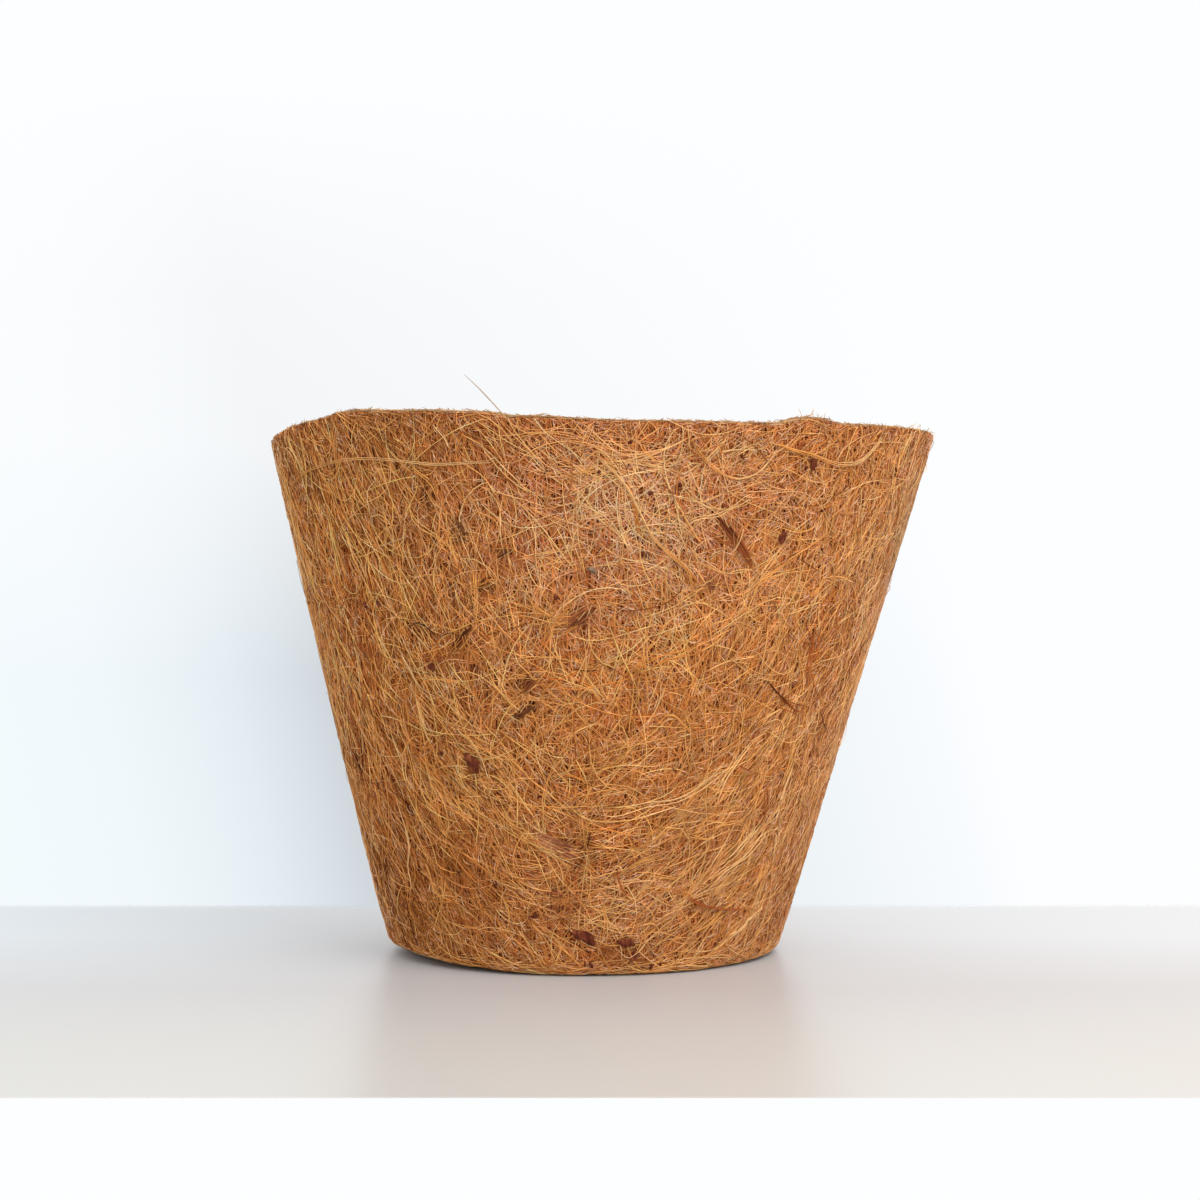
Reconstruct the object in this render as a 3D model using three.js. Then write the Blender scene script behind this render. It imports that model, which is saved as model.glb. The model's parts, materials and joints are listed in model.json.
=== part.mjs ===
// A plant pot pressed from felt of coconut fibre and latex, standing upright.
// Millimetres. The origin is the centre of the underside, +Z is up and the front faces -Y.
// Angles are in degrees round the pot from the front, growing towards +X.

import * as THREE from 'three';

// Driving dimensions of the pressed felt
const RIM_RADIUS = 75;
const FOOT_RADIUS = 44.3; // the wall's outer line carried down to the ground
const POT_HEIGHT = 116.5; // the rim's outer edge, on average
const FELT = 5;
const LEAN = 4.5; // how far the middle of the rim stands to the right of the foot's
const FOOT_ROUND = 3.5; // rounding of the bottom edge
const GAP = 0.3; // clearance between pieces that touch

// How far the rim is from a true circle, and the wall from a true cone
const OVAL = 0.35;
const LEFT_SWELL = 0.25;
const RIPPLE = 0.15;
const LEFT_BOW = 0.9;

// The wall's lower edge is turned in under the base as a hem, and the base disc rests on it.
const HEM_INNER_RADIUS = 30;
const HEM_THICKNESS = 3.5;
const DISC_EDGE_THICKNESS = 3.5;
const DISC_MIDDLE_THICKNESS = 5;
const DISC_DISH_RADIUS = 27;
const DISC_DISH_RAMP = 6;

// The rim is cut by hand, so its height wanders: [angle, millimetres above POT_HEIGHT].
const RIM_CUT = [
  [-180, -0.6],
  [-150, 0.5],
  [-120, -0.7],
  [-92, -0.3],
  [-76, 0.5],
  [-58, 1.3],
  [-46, 3.0],
  [-33, 1.6],
  [-20, 0.8],
  [-14, -0.3],
  [4, -1.3],
  [28, -1.3],
  [36, 0.3],
  [43, -0.6],
  [62, 0.4],
  [82, 0.0],
  [120, 0.6],
  [180, -0.6],
];

// Tucks that the press leaves in the felt: a shallow upright groove each.
const TUCKS = [
  { angle: -59, low: 36, high: 72 },
  { angle: -1, low: 12, high: 36 },
  { angle: 54, low: 46, high: 76 },
  { angle: 118, low: 30, high: 74 },
  { angle: 180, low: 20, high: 52 },
];
const TUCK_DEPTH = 0.7;
const TUCK_HALF_WIDTH = 5;

// Fineness of the solids
const ROUND_STEPS = 72;
const WALL_ROWS = 10;
const FOOT_ARC_STEPS = 3;
const CHIP_ROUND_STEPS = 12;
const CHIP_RINGS = 6;
const CHIP_NOTCH = 0.1; // how uneven a chip's outline is, as a share of its size
const STRAND_SIDES = 6;
const STRAND_STEPS_PER_STOP = 4;

const WALL_SLOPE = Math.atan2(RIM_RADIUS - FOOT_RADIUS, POT_HEIGHT);
const radians = THREE.MathUtils.degToRad;

function material(color, roughness) {
  return new THREE.MeshStandardMaterial({ color, roughness, metalness: 0 });
}

const materials = {
  coir: material(0xb37a4a, 0.95),
  darkHusk: material(0x4a2c1c, 0.7),
  redHusk: material(0x7c4227, 0.75),
  greyHusk: material(0x8c8073, 0.85),
  goldenFibre: material(0xc99a63, 0.7),
  orangeFibre: material(0xb0672c, 0.7),
  darkFibre: material(0x5a3722, 0.7),
};

// Height of the rim's cut over POT_HEIGHT at an angle, smooth between the stations of RIM_CUT
function rimRise(angle) {
  const turned = THREE.MathUtils.euclideanModulo(angle + 180, 360) - 180;
  const next = RIM_CUT.findIndex(([station]) => station > turned);
  const [fromAngle, fromRise] = RIM_CUT[next - 1];
  const [toAngle, toRise] = RIM_CUT[next];
  const share = THREE.MathUtils.smoothstep(turned, fromAngle, toAngle);
  return THREE.MathUtils.lerp(fromRise, toRise, share);
}

// How far the tucks press the felt inwards at a place on the wall
function tuckDepth(angle, height) {
  let depth = 0;
  for (const tuck of TUCKS) {
    const turn = THREE.MathUtils.euclideanModulo(angle - tuck.angle + 180, 360) - 180;
    const across = (radians(turn) * wallRadius(height)) / TUCK_HALF_WIDTH;
    const middle = (tuck.low + tuck.high) / 2;
    const along = (height - middle) / (tuck.high - middle);
    if (Math.abs(across) < 1 && Math.abs(along) < 1) {
      depth += TUCK_DEPTH * Math.cos((across * Math.PI) / 2) ** 2 * Math.cos((along * Math.PI) / 2);
    }
  }
  return depth;
}

// The pot is a little out of round towards the rim, and bows out on its left half way up.
function outOfRound(angle, height) {
  const share = THREE.MathUtils.clamp(height / POT_HEIGHT, 0, 1);
  const oval = -OVAL * Math.cos(radians(2 * angle));
  const toTheLeft = -LEFT_SWELL * Math.sin(radians(angle));
  const ripple = RIPPLE * Math.cos(radians(5 * angle));
  const bow = LEFT_BOW * Math.sin(Math.PI * share) * Math.max(0, Math.cos(radians(angle + 85)));
  return share * (oval + toTheLeft + ripple) + bow;
}

// Radius of the wall's outer face at a height, before the pot leans
function wallRadius(height) {
  return FOOT_RADIUS + height * Math.tan(WALL_SLOPE);
}

// A place in the pressed pot: the even cone's radius and height, bent as the real pot is
function potPoint(angle, radius, height) {
  const share = height / POT_HEIGHT;
  const outwards = outOfRound(angle, height) - tuckDepth(angle, height);
  const bentRadius = radius + (outwards * radius) / wallRadius(height);
  return new THREE.Vector3(
    bentRadius * Math.sin(radians(angle)) + LEAN * share,
    -bentRadius * Math.cos(radians(angle)),
    height + rimRise(angle) * Math.max(0, share) ** 4,
  );
}

// A place over the wall's outer face, lifted square off it
function overWall(angle, height, lift) {
  const radius = wallRadius(height) + lift * Math.cos(WALL_SLOPE);
  return potPoint(angle, radius, height - lift * Math.sin(WALL_SLOPE));
}

// A ring of the pot, turned from a profile of [radius, height] and then bent
function turnedSolid(profile) {
  const points = profile.map(([radius, height]) => new THREE.Vector2(radius, height));
  const geometry = new THREE.LatheGeometry(points, ROUND_STEPS);
  const places = geometry.attributes.position;
  for (let i = 0; i < places.count; i += 1) {
    // The lathe turns round its own Y; its first column is the front's.
    const radius = Math.hypot(places.getX(i), places.getZ(i));
    const angle = THREE.MathUtils.radToDeg(Math.atan2(places.getX(i), places.getZ(i)));
    const bent = potPoint(angle, radius, places.getY(i));
    places.setXYZ(i, bent.x, bent.y, bent.z);
  }
  return geometry;
}

// The conical felt wall with its rounded foot, square-cut rim and turned-in hem
function sideWall() {
  const profile = [
    [HEM_INNER_RADIUS, HEM_THICKNESS],
    [HEM_INNER_RADIUS, 0],
  ];
  // The rounded foot touches the ground and the sloping wall.
  const turn = Math.PI / 2 - WALL_SLOPE;
  const footCentre = FOOT_RADIUS - FOOT_ROUND / Math.tan((Math.PI / 2 + WALL_SLOPE) / 2);
  for (let i = 0; i <= FOOT_ARC_STEPS; i += 1) {
    const bend = (turn * i) / FOOT_ARC_STEPS;
    profile.push([footCentre + FOOT_ROUND * Math.sin(bend), FOOT_ROUND * (1 - Math.cos(bend))]);
  }
  const footTop = profile.at(-1)[1];
  for (let i = 1; i <= WALL_ROWS; i += 1) {
    const height = THREE.MathUtils.lerp(footTop, POT_HEIGHT, i / WALL_ROWS);
    profile.push([wallRadius(height), height]);
  }
  const innerShift = FELT / Math.cos(WALL_SLOPE);
  const rimInnerHeight = POT_HEIGHT + FELT * Math.sin(WALL_SLOPE);
  for (let i = WALL_ROWS; i >= 0; i -= 1) {
    const height = THREE.MathUtils.lerp(HEM_THICKNESS, rimInnerHeight, i / WALL_ROWS);
    profile.push([wallRadius(height) - innerShift, height]);
  }
  profile.push(profile[0]);
  return turnedSolid(profile);
}

// The dished felt disc: its middle lies flush inside the hem, its edge rests on the hem.
function baseDisc() {
  const plugRadius = HEM_INNER_RADIUS - GAP;
  const shelf = HEM_THICKNESS + GAP;
  const top = shelf + DISC_EDGE_THICKNESS;
  const innerShift = FELT / Math.cos(WALL_SLOPE) + GAP;
  return turnedSolid([
    [0, 0],
    [plugRadius, 0],
    [plugRadius, shelf],
    [wallRadius(shelf) - innerShift, shelf],
    [wallRadius(top) - innerShift, top],
    [DISC_DISH_RADIUS + DISC_DISH_RAMP, top],
    [DISC_DISH_RADIUS, DISC_MIDDLE_THICKNESS],
    [0, DISC_MIDDLE_THICKNESS],
  ]);
}

// A flat husk chip that lies on the wall, with an uneven outline and a domed face.
// length runs along tilt, which is measured up from the horizontal; taper narrows its ends.
function chipSolid({ angle, height, length, width, tilt, thickness, taper }) {
  const geometry = new THREE.SphereGeometry(1, CHIP_ROUND_STEPS, CHIP_RINGS);
  const places = geometry.attributes.position;
  const lean = radians(tilt);
  for (let i = 0; i < places.count; i += 1) {
    const bearing = Math.atan2(places.getZ(i), places.getX(i));
    const outline = 1 + CHIP_NOTCH * (Math.sin(3 * bearing + angle) + 0.6 * Math.sin(5 * bearing + height));
    const narrowing = 1 - taper * places.getX(i) ** 2;
    const along = (places.getX(i) * outline * length) / 2;
    const across = (places.getZ(i) * outline * narrowing * width) / 2;
    const right = along * Math.cos(lean) + across * Math.sin(lean);
    const up = along * Math.sin(lean) - across * Math.cos(lean);
    const lift = GAP + ((places.getY(i) + 1) / 2) * thickness;
    const turn = THREE.MathUtils.radToDeg(right / wallRadius(height));
    const bent = overWall(angle + turn, height + up * Math.cos(WALL_SLOPE), lift);
    places.setXYZ(i, bent.x, bent.y, bent.z);
  }
  return geometry;
}

// A strand of fibre through stops of [angle, height, clearance from the wall]
class WallPath extends THREE.Curve {
  constructor(stops, radius) {
    super();
    this.radius = radius;
    this.flat = new THREE.CatmullRomCurve3(stops.map((stop) => new THREE.Vector3(...stop)));
  }

  getPoint(share, target = new THREE.Vector3()) {
    const place = this.flat.getPoint(share);
    return target.copy(overWall(place.x, place.y, GAP + this.radius + place.z));
  }
}

function strandSolid({ stops, thickness }) {
  const section = new THREE.Shape();
  section.absarc(0, 0, thickness / 2, 0, 2 * Math.PI);
  return new THREE.ExtrudeGeometry(section, {
    steps: STRAND_STEPS_PER_STOP * (stops.length - 1),
    curveSegments: STRAND_SIDES / 2, // an arc takes two sides for each
    bevelEnabled: false,
    extrudePath: new WallPath(stops, thickness / 2),
  });
}

const pot = new THREE.Group();

function add(name, geometry, finish) {
  const mesh = new THREE.Mesh(geometry, finish);
  mesh.name = name;
  pot.add(mesh);
}

add('side_wall', sideWall(), materials.coir);
add('base_disc', baseDisc(), materials.coir);

// Pieces of husk bound into the face of the wall
const CHIPS = {
  husk_seed_upper: {
    angle: -26, height: 46, length: 5.3, width: 2.7, tilt: -60, thickness: 1.1, taper: 0.35,
    finish: 'darkHusk',
  },
  husk_seed_foot: {
    angle: 0, height: 9, length: 5.8, width: 2.5, tilt: -34, thickness: 1.0, taper: 0.15,
    finish: 'darkHusk',
  },
  husk_flake_foot: {
    angle: 11, height: 7.6, length: 4.3, width: 1.9, tilt: -12, thickness: 0.7, taper: 0.5,
    finish: 'darkHusk',
  },
  husk_flake_foot_low: {
    angle: 13.5, height: 4.6, length: 3.0, width: 2.0, tilt: 70, thickness: 0.6, taper: 0.2,
    finish: 'darkHusk',
  },
  husk_sheet_lower: {
    angle: -6, height: 28, length: 11.5, width: 3.0, tilt: -30, thickness: 0.6, taper: 0.3,
    finish: 'redHusk',
  },
  husk_chip_lower: {
    angle: -7, height: 18, length: 3.2, width: 1.4, tilt: 5, thickness: 0.6, taper: 0.4,
    finish: 'darkHusk',
  },
  leaf_sliver: {
    angle: -26, height: 71.5, length: 7.4, width: 1.9, tilt: 45, thickness: 0.5, taper: 0.6,
    finish: 'darkHusk',
  },
  husk_knot_left: {
    angle: -33, height: 66, length: 1.9, width: 1.7, tilt: 0, thickness: 0.7, taper: 0.1,
    finish: 'darkHusk',
  },
  husk_chip_middle: {
    angle: -13, height: 63, length: 4.2, width: 1.6, tilt: 55, thickness: 0.7, taper: 0.5,
    finish: 'redHusk',
  },
  husk_chip_small: {
    angle: -14, height: 56.5, length: 4.6, width: 1.3, tilt: 35, thickness: 0.6, taper: 0.5,
    finish: 'darkHusk',
  },
  husk_flake_left: {
    angle: -20, height: 83, length: 4.4, width: 2.6, tilt: 20, thickness: 0.6, taper: 0.3,
    finish: 'redHusk',
  },
  husk_flake_upper: {
    angle: -17, height: 89.5, length: 3.0, width: 1.9, tilt: 30, thickness: 0.7, taper: 0.3,
    finish: 'darkHusk',
  },
  husk_sliver_upper: {
    angle: -24, height: 94, length: 4.6, width: 1.2, tilt: -58, thickness: 0.7, taper: 0.6,
    finish: 'darkHusk',
  },
  husk_sheet_middle: {
    angle: -3.7, height: 76.5, length: 8.0, width: 3.2, tilt: 36, thickness: 0.5, taper: 0.4,
    finish: 'redHusk',
  },
  grey_chip: {
    angle: -1, height: 86.5, length: 2.2, width: 1.2, tilt: -30, thickness: 0.6, taper: 0.2,
    finish: 'greyHusk',
  },
  husk_sliver_right: {
    angle: 24.5, height: 92.3, length: 13.6, width: 1.4, tilt: -55, thickness: 0.7, taper: 0.75,
    finish: 'darkHusk',
  },
  husk_flake_right: {
    angle: 20.5, height: 84, length: 3.9, width: 2.2, tilt: -30, thickness: 0.6, taper: 0.3,
    finish: 'redHusk',
  },
  husk_chip_right: {
    angle: 33.5, height: 93, length: 2.8, width: 1.9, tilt: -80, thickness: 0.7, taper: 0.1,
    finish: 'darkHusk',
  },
  husk_chip_rim: {
    angle: 37, height: 108, length: 2.7, width: 1.7, tilt: -62, thickness: 0.7, taper: 0.3,
    finish: 'darkHusk',
  },
};
for (const [name, { finish, ...shape }] of Object.entries(CHIPS)) {
  add(name, chipSolid(shape), materials[finish]);
}

// Strands that stand clear of the felt
const STRANDS = {
  stray_fibre: {
    stops: [[-11.5, 113, 0], [-14, 116, 0.1], [-17, 118.5, 0.4], [-20, 121.5, 0.8], [-24, 126, 1.2]],
    thickness: 0.7,
    finish: 'goldenFibre',
  },
  strand_arc_left: {
    stops: [
      [-67, 107, 0], [-58, 109.5, 0.2], [-46, 110.5, 0.3],
      [-37, 110, 0.2], [-29, 108.5, 0.1], [-18, 108.5, 0],
    ],
    thickness: 0.8,
    finish: 'goldenFibre',
  },
  strand_arc_right: {
    stops: [
      [14, 113.5, 0], [16, 110, 0.2], [20, 106.5, 0.3],
      [23.5, 105.8, 0.3], [26.5, 107.5, 0.2], [29, 111.5, 0],
    ],
    thickness: 0.7,
    finish: 'goldenFibre',
  },
  strand_arc_far_right: {
    stops: [
      [26, 113.5, 0], [29, 112.8, 0.2], [33, 111, 0.3], [38, 109.6, 0.3],
      [44, 109.5, 0.3], [49, 112, 0.2], [52, 114.5, 0],
    ],
    thickness: 0.7,
    finish: 'goldenFibre',
  },
  strand_bundle_middle: {
    stops: [
      [-1, 110, 0], [3.5, 104.5, 0.2], [6.5, 98, 0.3],
      [9, 93, 0.3], [13, 89, 0.3], [16, 86, 0.1], [18, 79.5, 0],
    ],
    thickness: 1.0,
    finish: 'goldenFibre',
  },
  strand_foot_orange: {
    stops: [[26, 17, 0], [32, 14.8, 0.2], [38, 13.8, 0.2], [46, 13.2, 0]],
    thickness: 0.8,
    finish: 'orangeFibre',
  },
  strand_dark_left: {
    stops: [[-38, 74, 0], [-35.5, 75, 0.2], [-33, 74, 0.2], [-31, 71.5, 0]],
    thickness: 0.6,
    finish: 'darkFibre',
  },
  strand_dark_right: {
    stops: [[37, 63, 0], [41, 60, 0.2], [46, 57, 0.2], [50, 56, 0]],
    thickness: 0.6,
    finish: 'darkFibre',
  },
};
for (const [name, { finish, ...shape }] of Object.entries(STRANDS)) {
  add(name, strandSolid(shape), materials[finish]);
}

export default pot;
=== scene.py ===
"""A coir pot: felt of coconut fibre and latex, pressed into a tapered plant pot.

Sizes are millimetres and become metres when a mesh is made. Angles are degrees round the pot from
its front, growing to the right. A place on the felt is an angle and a run, which is the distance
along the pot's outline from the inner edge of the hem underneath.
"""

import json
import math
from dataclasses import dataclass

import bmesh
import bpy
import numpy as np
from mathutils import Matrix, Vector


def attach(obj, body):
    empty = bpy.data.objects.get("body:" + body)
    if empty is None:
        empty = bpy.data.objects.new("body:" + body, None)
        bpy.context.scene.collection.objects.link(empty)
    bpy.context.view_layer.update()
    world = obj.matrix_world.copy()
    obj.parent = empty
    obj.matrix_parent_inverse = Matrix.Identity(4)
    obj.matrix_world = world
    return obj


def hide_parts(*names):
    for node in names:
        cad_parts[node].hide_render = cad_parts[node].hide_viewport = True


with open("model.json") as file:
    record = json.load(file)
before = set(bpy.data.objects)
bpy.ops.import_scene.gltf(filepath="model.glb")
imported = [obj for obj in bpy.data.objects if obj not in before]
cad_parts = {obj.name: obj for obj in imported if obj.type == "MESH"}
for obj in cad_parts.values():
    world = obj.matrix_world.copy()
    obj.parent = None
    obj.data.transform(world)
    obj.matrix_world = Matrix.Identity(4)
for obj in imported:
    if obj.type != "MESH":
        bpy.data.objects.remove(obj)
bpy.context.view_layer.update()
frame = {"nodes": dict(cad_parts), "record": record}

MM = 0.001
SEED = 20261128

# The pressed felt, within a millimetre of its solids: the rim is cut more level here
RIM_RADIUS = 75.24
FOOT_RADIUS = 44.3  # the wall's outer line carried down to the ground
POT_HEIGHT = 117.3  # the rim's outer edge, on average
FELT = 5.0
LEAN = 4.5  # how far the middle of the rim stands to the right of the foot's
FOOT_ROUND = 2.6
FOOT_LIFT = 0.2  # how far the foot's outer edge stands off the ground
FOOT_FLAT = 35.0  # the hem lies flat up to this radius
HALFWAY_LIFT = 0.3  # the share of the lift that the hem has halfway from there to the edge
FOOT_POINTS = 9  # of the outline round the foot's edge
RIM_ROUND = 0.7  # of the worn outer edge
RIM_POINTS = 7  # of the outline round it
RIM_TILT = 0.25  # how much higher the rim's inner edge is cut
HEM_INNER_RADIUS = 30.0
HEM_THICKNESS = 3.5
GAP = 0.3
DISC_EDGE_THICKNESS = 3.5
DISC_MIDDLE_THICKNESS = 5.0
DISC_DISH_RADIUS = 27.0
DISC_DISH_RAMP = 6.0
CENTRE = 0.01  # the least radius of an outline
OVAL = 0.35  # how far the rim stands out at its sides, and in at front and back
LEFT_SWELL = 0.3  # how far it is shifted to the left
RIPPLE = 0.15
RIPPLES = 5  # round the rim
LEFT_BOW = 0.45  # how far the wall bulges halfway up
LEFT_BOW_AT = -85.0  # and at what angle
WALL_SLOPE = math.atan2(RIM_RADIUS - FOOT_RADIUS, POT_HEIGHT)

# The rim is cut by hand: angle, millimetres above POT_HEIGHT
RIM_CUT = [
    (-180, -0.6), (-150, 0.5), (-120, -0.9), (-91, -1.4), (-76, -0.7), (-58, 0.8), (-46, 2.3),
    (-33, 1.6), (-20, 0.8), (-14, -0.3), (4, -1.3), (28, -1.3), (36, 0.3), (43, -0.6), (62, -0.2),
    (82, 0.0), (92, -0.5), (120, 0.3), (180, -0.6),
]
CUT_FADE = 4  # how quickly that fades below the rim

# How far the foot's edge curls up: angle, millimetres. The outer part of the underside and the
# lowest part of the wall go with it.
FOOT_CURL = [
    (-180, 0.5), (-120, 0.6), (-84, 1.7), (-68, 2.0), (-52, 1.5), (-38, 0.9), (-18, 0.2), (0, 0.0),
    (25, 0.0), (70, 0.3), (110, 0.6), (180, 0.5),
]
CURL_HEIGHT = 12.0  # of the wall that curls

# Tucks pressed into the wall: angle, lowest and highest height
TUCKS = [(-59, 36, 72), (-1, 12, 36), (54, 46, 76), (118, 30, 74), (180, 20, 52)]
TUCK_DEPTH = 0.7
TUCK_HALF_WIDTH = 5.0


def smoothstep(share):
    share = np.clip(share, 0.0, 1.0)
    return share * share * (3.0 - 2.0 * share)


def turned(angle):
    """The angle within half a turn of the front."""
    return (angle + 180.0) % 360.0 - 180.0


def rise_at(angle, stops):
    """A height that goes smoothly from one (angle, height) stop to the next."""
    angle = turned(angle)
    rise = np.zeros_like(angle)
    for (start, low), (end, high) in zip(stops, stops[1:]):
        inside = (angle >= start) & (angle <= end)
        share = smoothstep((angle[inside] - start) / (end - start))
        rise[inside] = low + (high - low) * share
    return rise


def wall_radius(height):
    return FOOT_RADIUS + height * math.tan(WALL_SLOPE)


def tuck_depth(angle, height):
    depth = np.zeros_like(angle)
    for centre, low, high in TUCKS:
        across = np.radians(turned(angle - centre)) * wall_radius(height) / TUCK_HALF_WIDTH
        middle = (low + high) / 2
        along = (height - middle) / (high - middle)
        inside = (np.abs(across) < 1) & (np.abs(along) < 1)
        valley = np.cos(across * math.pi / 2) ** 2 * np.cos(along * math.pi / 2)
        depth += np.where(inside, TUCK_DEPTH * valley, 0.0)
    return depth


def out_of_round(angle, height):
    share = np.clip(height / POT_HEIGHT, 0.0, 1.0)
    turn = np.radians(angle)
    shape = -OVAL * np.cos(2 * turn) - LEFT_SWELL * np.sin(turn) + RIPPLE * np.cos(RIPPLES * turn)
    towards_left = np.maximum(0.0, np.cos(turn - math.radians(LEFT_BOW_AT)))
    return share * shape + LEFT_BOW * np.sin(math.pi * share) * towards_left


def pot_point(angle, radius, height):
    """A place in the pressed pot: the even cone's radius and height, bent as the real pot is."""
    share = height / POT_HEIGHT
    outwards = out_of_round(angle, height) - tuck_depth(angle, height)
    bent = radius + outwards * radius / wall_radius(height)
    turn = np.radians(angle)
    rise = rise_at(angle, RIM_CUT) * np.maximum(0.0, share) ** CUT_FADE
    outer = smoothstep((radius - FOOT_FLAT) / (FOOT_RADIUS - FOOT_FLAT))
    rise = rise + rise_at(angle, FOOT_CURL) * outer * (1.0 - smoothstep(height / CURL_HEIGHT))
    return np.stack([bent * np.sin(turn) + LEAN * share, -bent * np.cos(turn), height + rise], -1)


class Outline:
    """A line of (radius, height) points that the felt's surface is turned from, measured by its run."""

    STEP = 0.25

    def __init__(self, corners):
        corners = np.array(corners, float)
        lengths = np.linalg.norm(np.diff(corners, axis=0), axis=1)
        runs = np.concatenate([[0.0], np.cumsum(lengths)])
        self.length = runs[-1]
        self.runs = np.linspace(0.0, self.length, max(8, int(self.length / self.STEP)))
        self.radii = np.interp(self.runs, runs, corners[:, 0])
        self.heights = np.interp(self.runs, runs, corners[:, 1])
        across = np.gradient(self.radii, self.runs)
        up = np.gradient(self.heights, self.runs)
        size = np.hypot(across, up)
        # Solid felt lies to the left of the line, so the outward side is to its right.
        self.out_radii = up / size
        self.out_heights = -across / size

    def place(self, angle, run, lift):
        """Points over the surface, lifted square off it."""
        radius = np.interp(run, self.runs, self.radii)
        height = np.interp(run, self.runs, self.heights)
        radius = radius + lift * np.interp(run, self.runs, self.out_radii)
        height = height + lift * np.interp(run, self.runs, self.out_heights)
        return pot_point(angle, radius, height)

    def radius(self, run):
        return np.interp(run, self.runs, self.radii)

    def normal(self, angle, run):
        turn = np.radians(angle)
        out = np.interp(run, self.runs, self.out_radii)
        up = np.interp(run, self.runs, self.out_heights)
        found = np.stack([out * np.sin(turn), -out * np.cos(turn), up], -1)
        return found / np.linalg.norm(found, axis=-1, keepdims=True)

    def run_at(self, share):
        """The run that has a share of the whole surface below it."""
        below = np.concatenate([[0.0], np.cumsum(self.radii[:-1] * np.diff(self.runs))])
        return np.interp(share, below / below[-1], self.runs)


def foot_arc():
    """The bottom edge, which curls up a little and then rounds into the sloping wall."""
    middle = FOOT_LIFT + FOOT_ROUND
    centre = wall_radius(middle) - FOOT_ROUND / math.cos(WALL_SLOPE)
    bends = np.linspace(0.0, math.pi / 2 - WALL_SLOPE, FOOT_POINTS)
    arc = [(centre + FOOT_ROUND * math.sin(b), middle - FOOT_ROUND * math.cos(b)) for b in bends]
    return [(FOOT_FLAT, 0.0), ((FOOT_FLAT + centre) / 2, HALFWAY_LIFT * FOOT_LIFT), *arc]


def rim_arc():
    """The worn outer edge of the cut rim, from the wall to the rim's face."""
    arc = []
    for bend in np.linspace(0.0, math.pi / 2, RIM_POINTS):
        inwards = RIM_ROUND * (1 - math.cos(bend))
        below = RIM_ROUND * (1 - math.sin(bend))
        radius = RIM_RADIUS - inwards - below * math.sin(WALL_SLOPE)
        arc.append((radius, POT_HEIGHT - below * math.cos(WALL_SLOPE)))
    return arc


def inner_radius(height):
    return wall_radius(height) - FELT / math.cos(WALL_SLOPE)


RIM_INNER = (inner_radius(POT_HEIGHT + RIM_TILT), POT_HEIGHT + RIM_TILT)
OUTSIDE = Outline([(HEM_INNER_RADIUS, 0.0), *foot_arc(), *rim_arc()])
RIM_FACE = Outline([rim_arc()[-1], RIM_INNER])
DISC_TOP = HEM_THICKNESS + GAP + DISC_EDGE_THICKNESS
INSIDE = Outline([RIM_INNER, (inner_radius(DISC_TOP), DISC_TOP)])
DISC_UPPER = Outline([
    (inner_radius(DISC_TOP) - GAP, DISC_TOP),
    (DISC_DISH_RADIUS + DISC_DISH_RAMP, DISC_TOP),
    (DISC_DISH_RADIUS, DISC_MIDDLE_THICKNESS),
    (CENTRE, DISC_MIDDLE_THICKNESS),
])
DISC_UNDER = Outline([(CENTRE, 0.0), (HEM_INNER_RADIUS - GAP, 0.0)])


WALL_FROM = 30.0  # every run past this one is on the wall


def run_of_height(height):
    """The outside's run at a height, or below that the lowest run that is surely on the wall."""
    wall = OUTSIDE.runs > WALL_FROM
    return np.interp(height, OUTSIDE.heights[wall], OUTSIDE.runs[wall])


def linear(red, green, blue):
    """A colour given as it shows, 0 to 255, in the numbers that a shader takes."""
    shown = np.array([red, green, blue]) / 255.0
    return np.where(shown <= 0.04045, shown / 12.92, ((shown + 0.055) / 1.055) ** 2.4)


# Large numbers that turn a corner of a grid and a seed into a number that looks random
GRID_FACTORS = (73856093, 19349663, 83492791)
SEED_FACTOR = 2654435761
STIRS = [(13, 1274126177), (11, 668265263)]
LOW_BITS = 0x7FFFFFFF
NOISE_VALUES = 65521


def field_noise(points, cell, seed):
    """Smooth random values between -1 and 1 over points in space, about one swell to a cell."""
    scaled = np.asarray(points, float) / cell
    corner = np.floor(scaled).astype(np.int64)
    part = scaled - corner
    part = part * part * (3 - 2 * part)
    total = np.zeros(scaled.shape[:-1])
    for step in range(8):
        offset = np.array([step & 1, step >> 1 & 1, step >> 2 & 1])
        place = corner + offset
        mixed = np.bitwise_xor.reduce(place * GRID_FACTORS, axis=-1) ^ seed * SEED_FACTOR
        for shift, factor in STIRS:
            mixed = (mixed ^ (mixed >> shift)) * factor & LOW_BITS
        value = (mixed % NOISE_VALUES) / (NOISE_VALUES / 2) - 1.0
        total += value * np.prod(np.where(offset, part, 1 - part), axis=-1)
    return total


def in_scene(name, data):
    """A new object in the scene."""
    made = bpy.data.objects.new(name, data)
    bpy.context.scene.collection.objects.link(made)
    return made


def new_mesh(name, points, faces, sides, material, smooth=True):
    """An object from points in millimetres and faces that all have the same number of sides."""
    mesh = bpy.data.meshes.new(name)
    points = np.asarray(points, np.float32).reshape(-1, 3) * MM
    faces = np.asarray(faces, np.int32).reshape(-1, sides)
    mesh.vertices.add(len(points))
    mesh.vertices.foreach_set("co", points.ravel())
    mesh.loops.add(faces.size)
    mesh.loops.foreach_set("vertex_index", faces.ravel())
    mesh.polygons.add(len(faces))
    mesh.polygons.foreach_set("loop_start", np.arange(0, faces.size, sides, dtype=np.int32))
    mesh.polygons.foreach_set("use_smooth", np.full(len(faces), smooth))
    mesh.update(calc_edges=True)
    mesh.materials.append(material)
    return in_scene(name, mesh)


def belongs(piece, node=None):
    """Puts a piece of the pot under the root body, and hides the solid that it is the looks of."""
    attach(piece, "root")
    if node:
        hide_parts(node)


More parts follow.
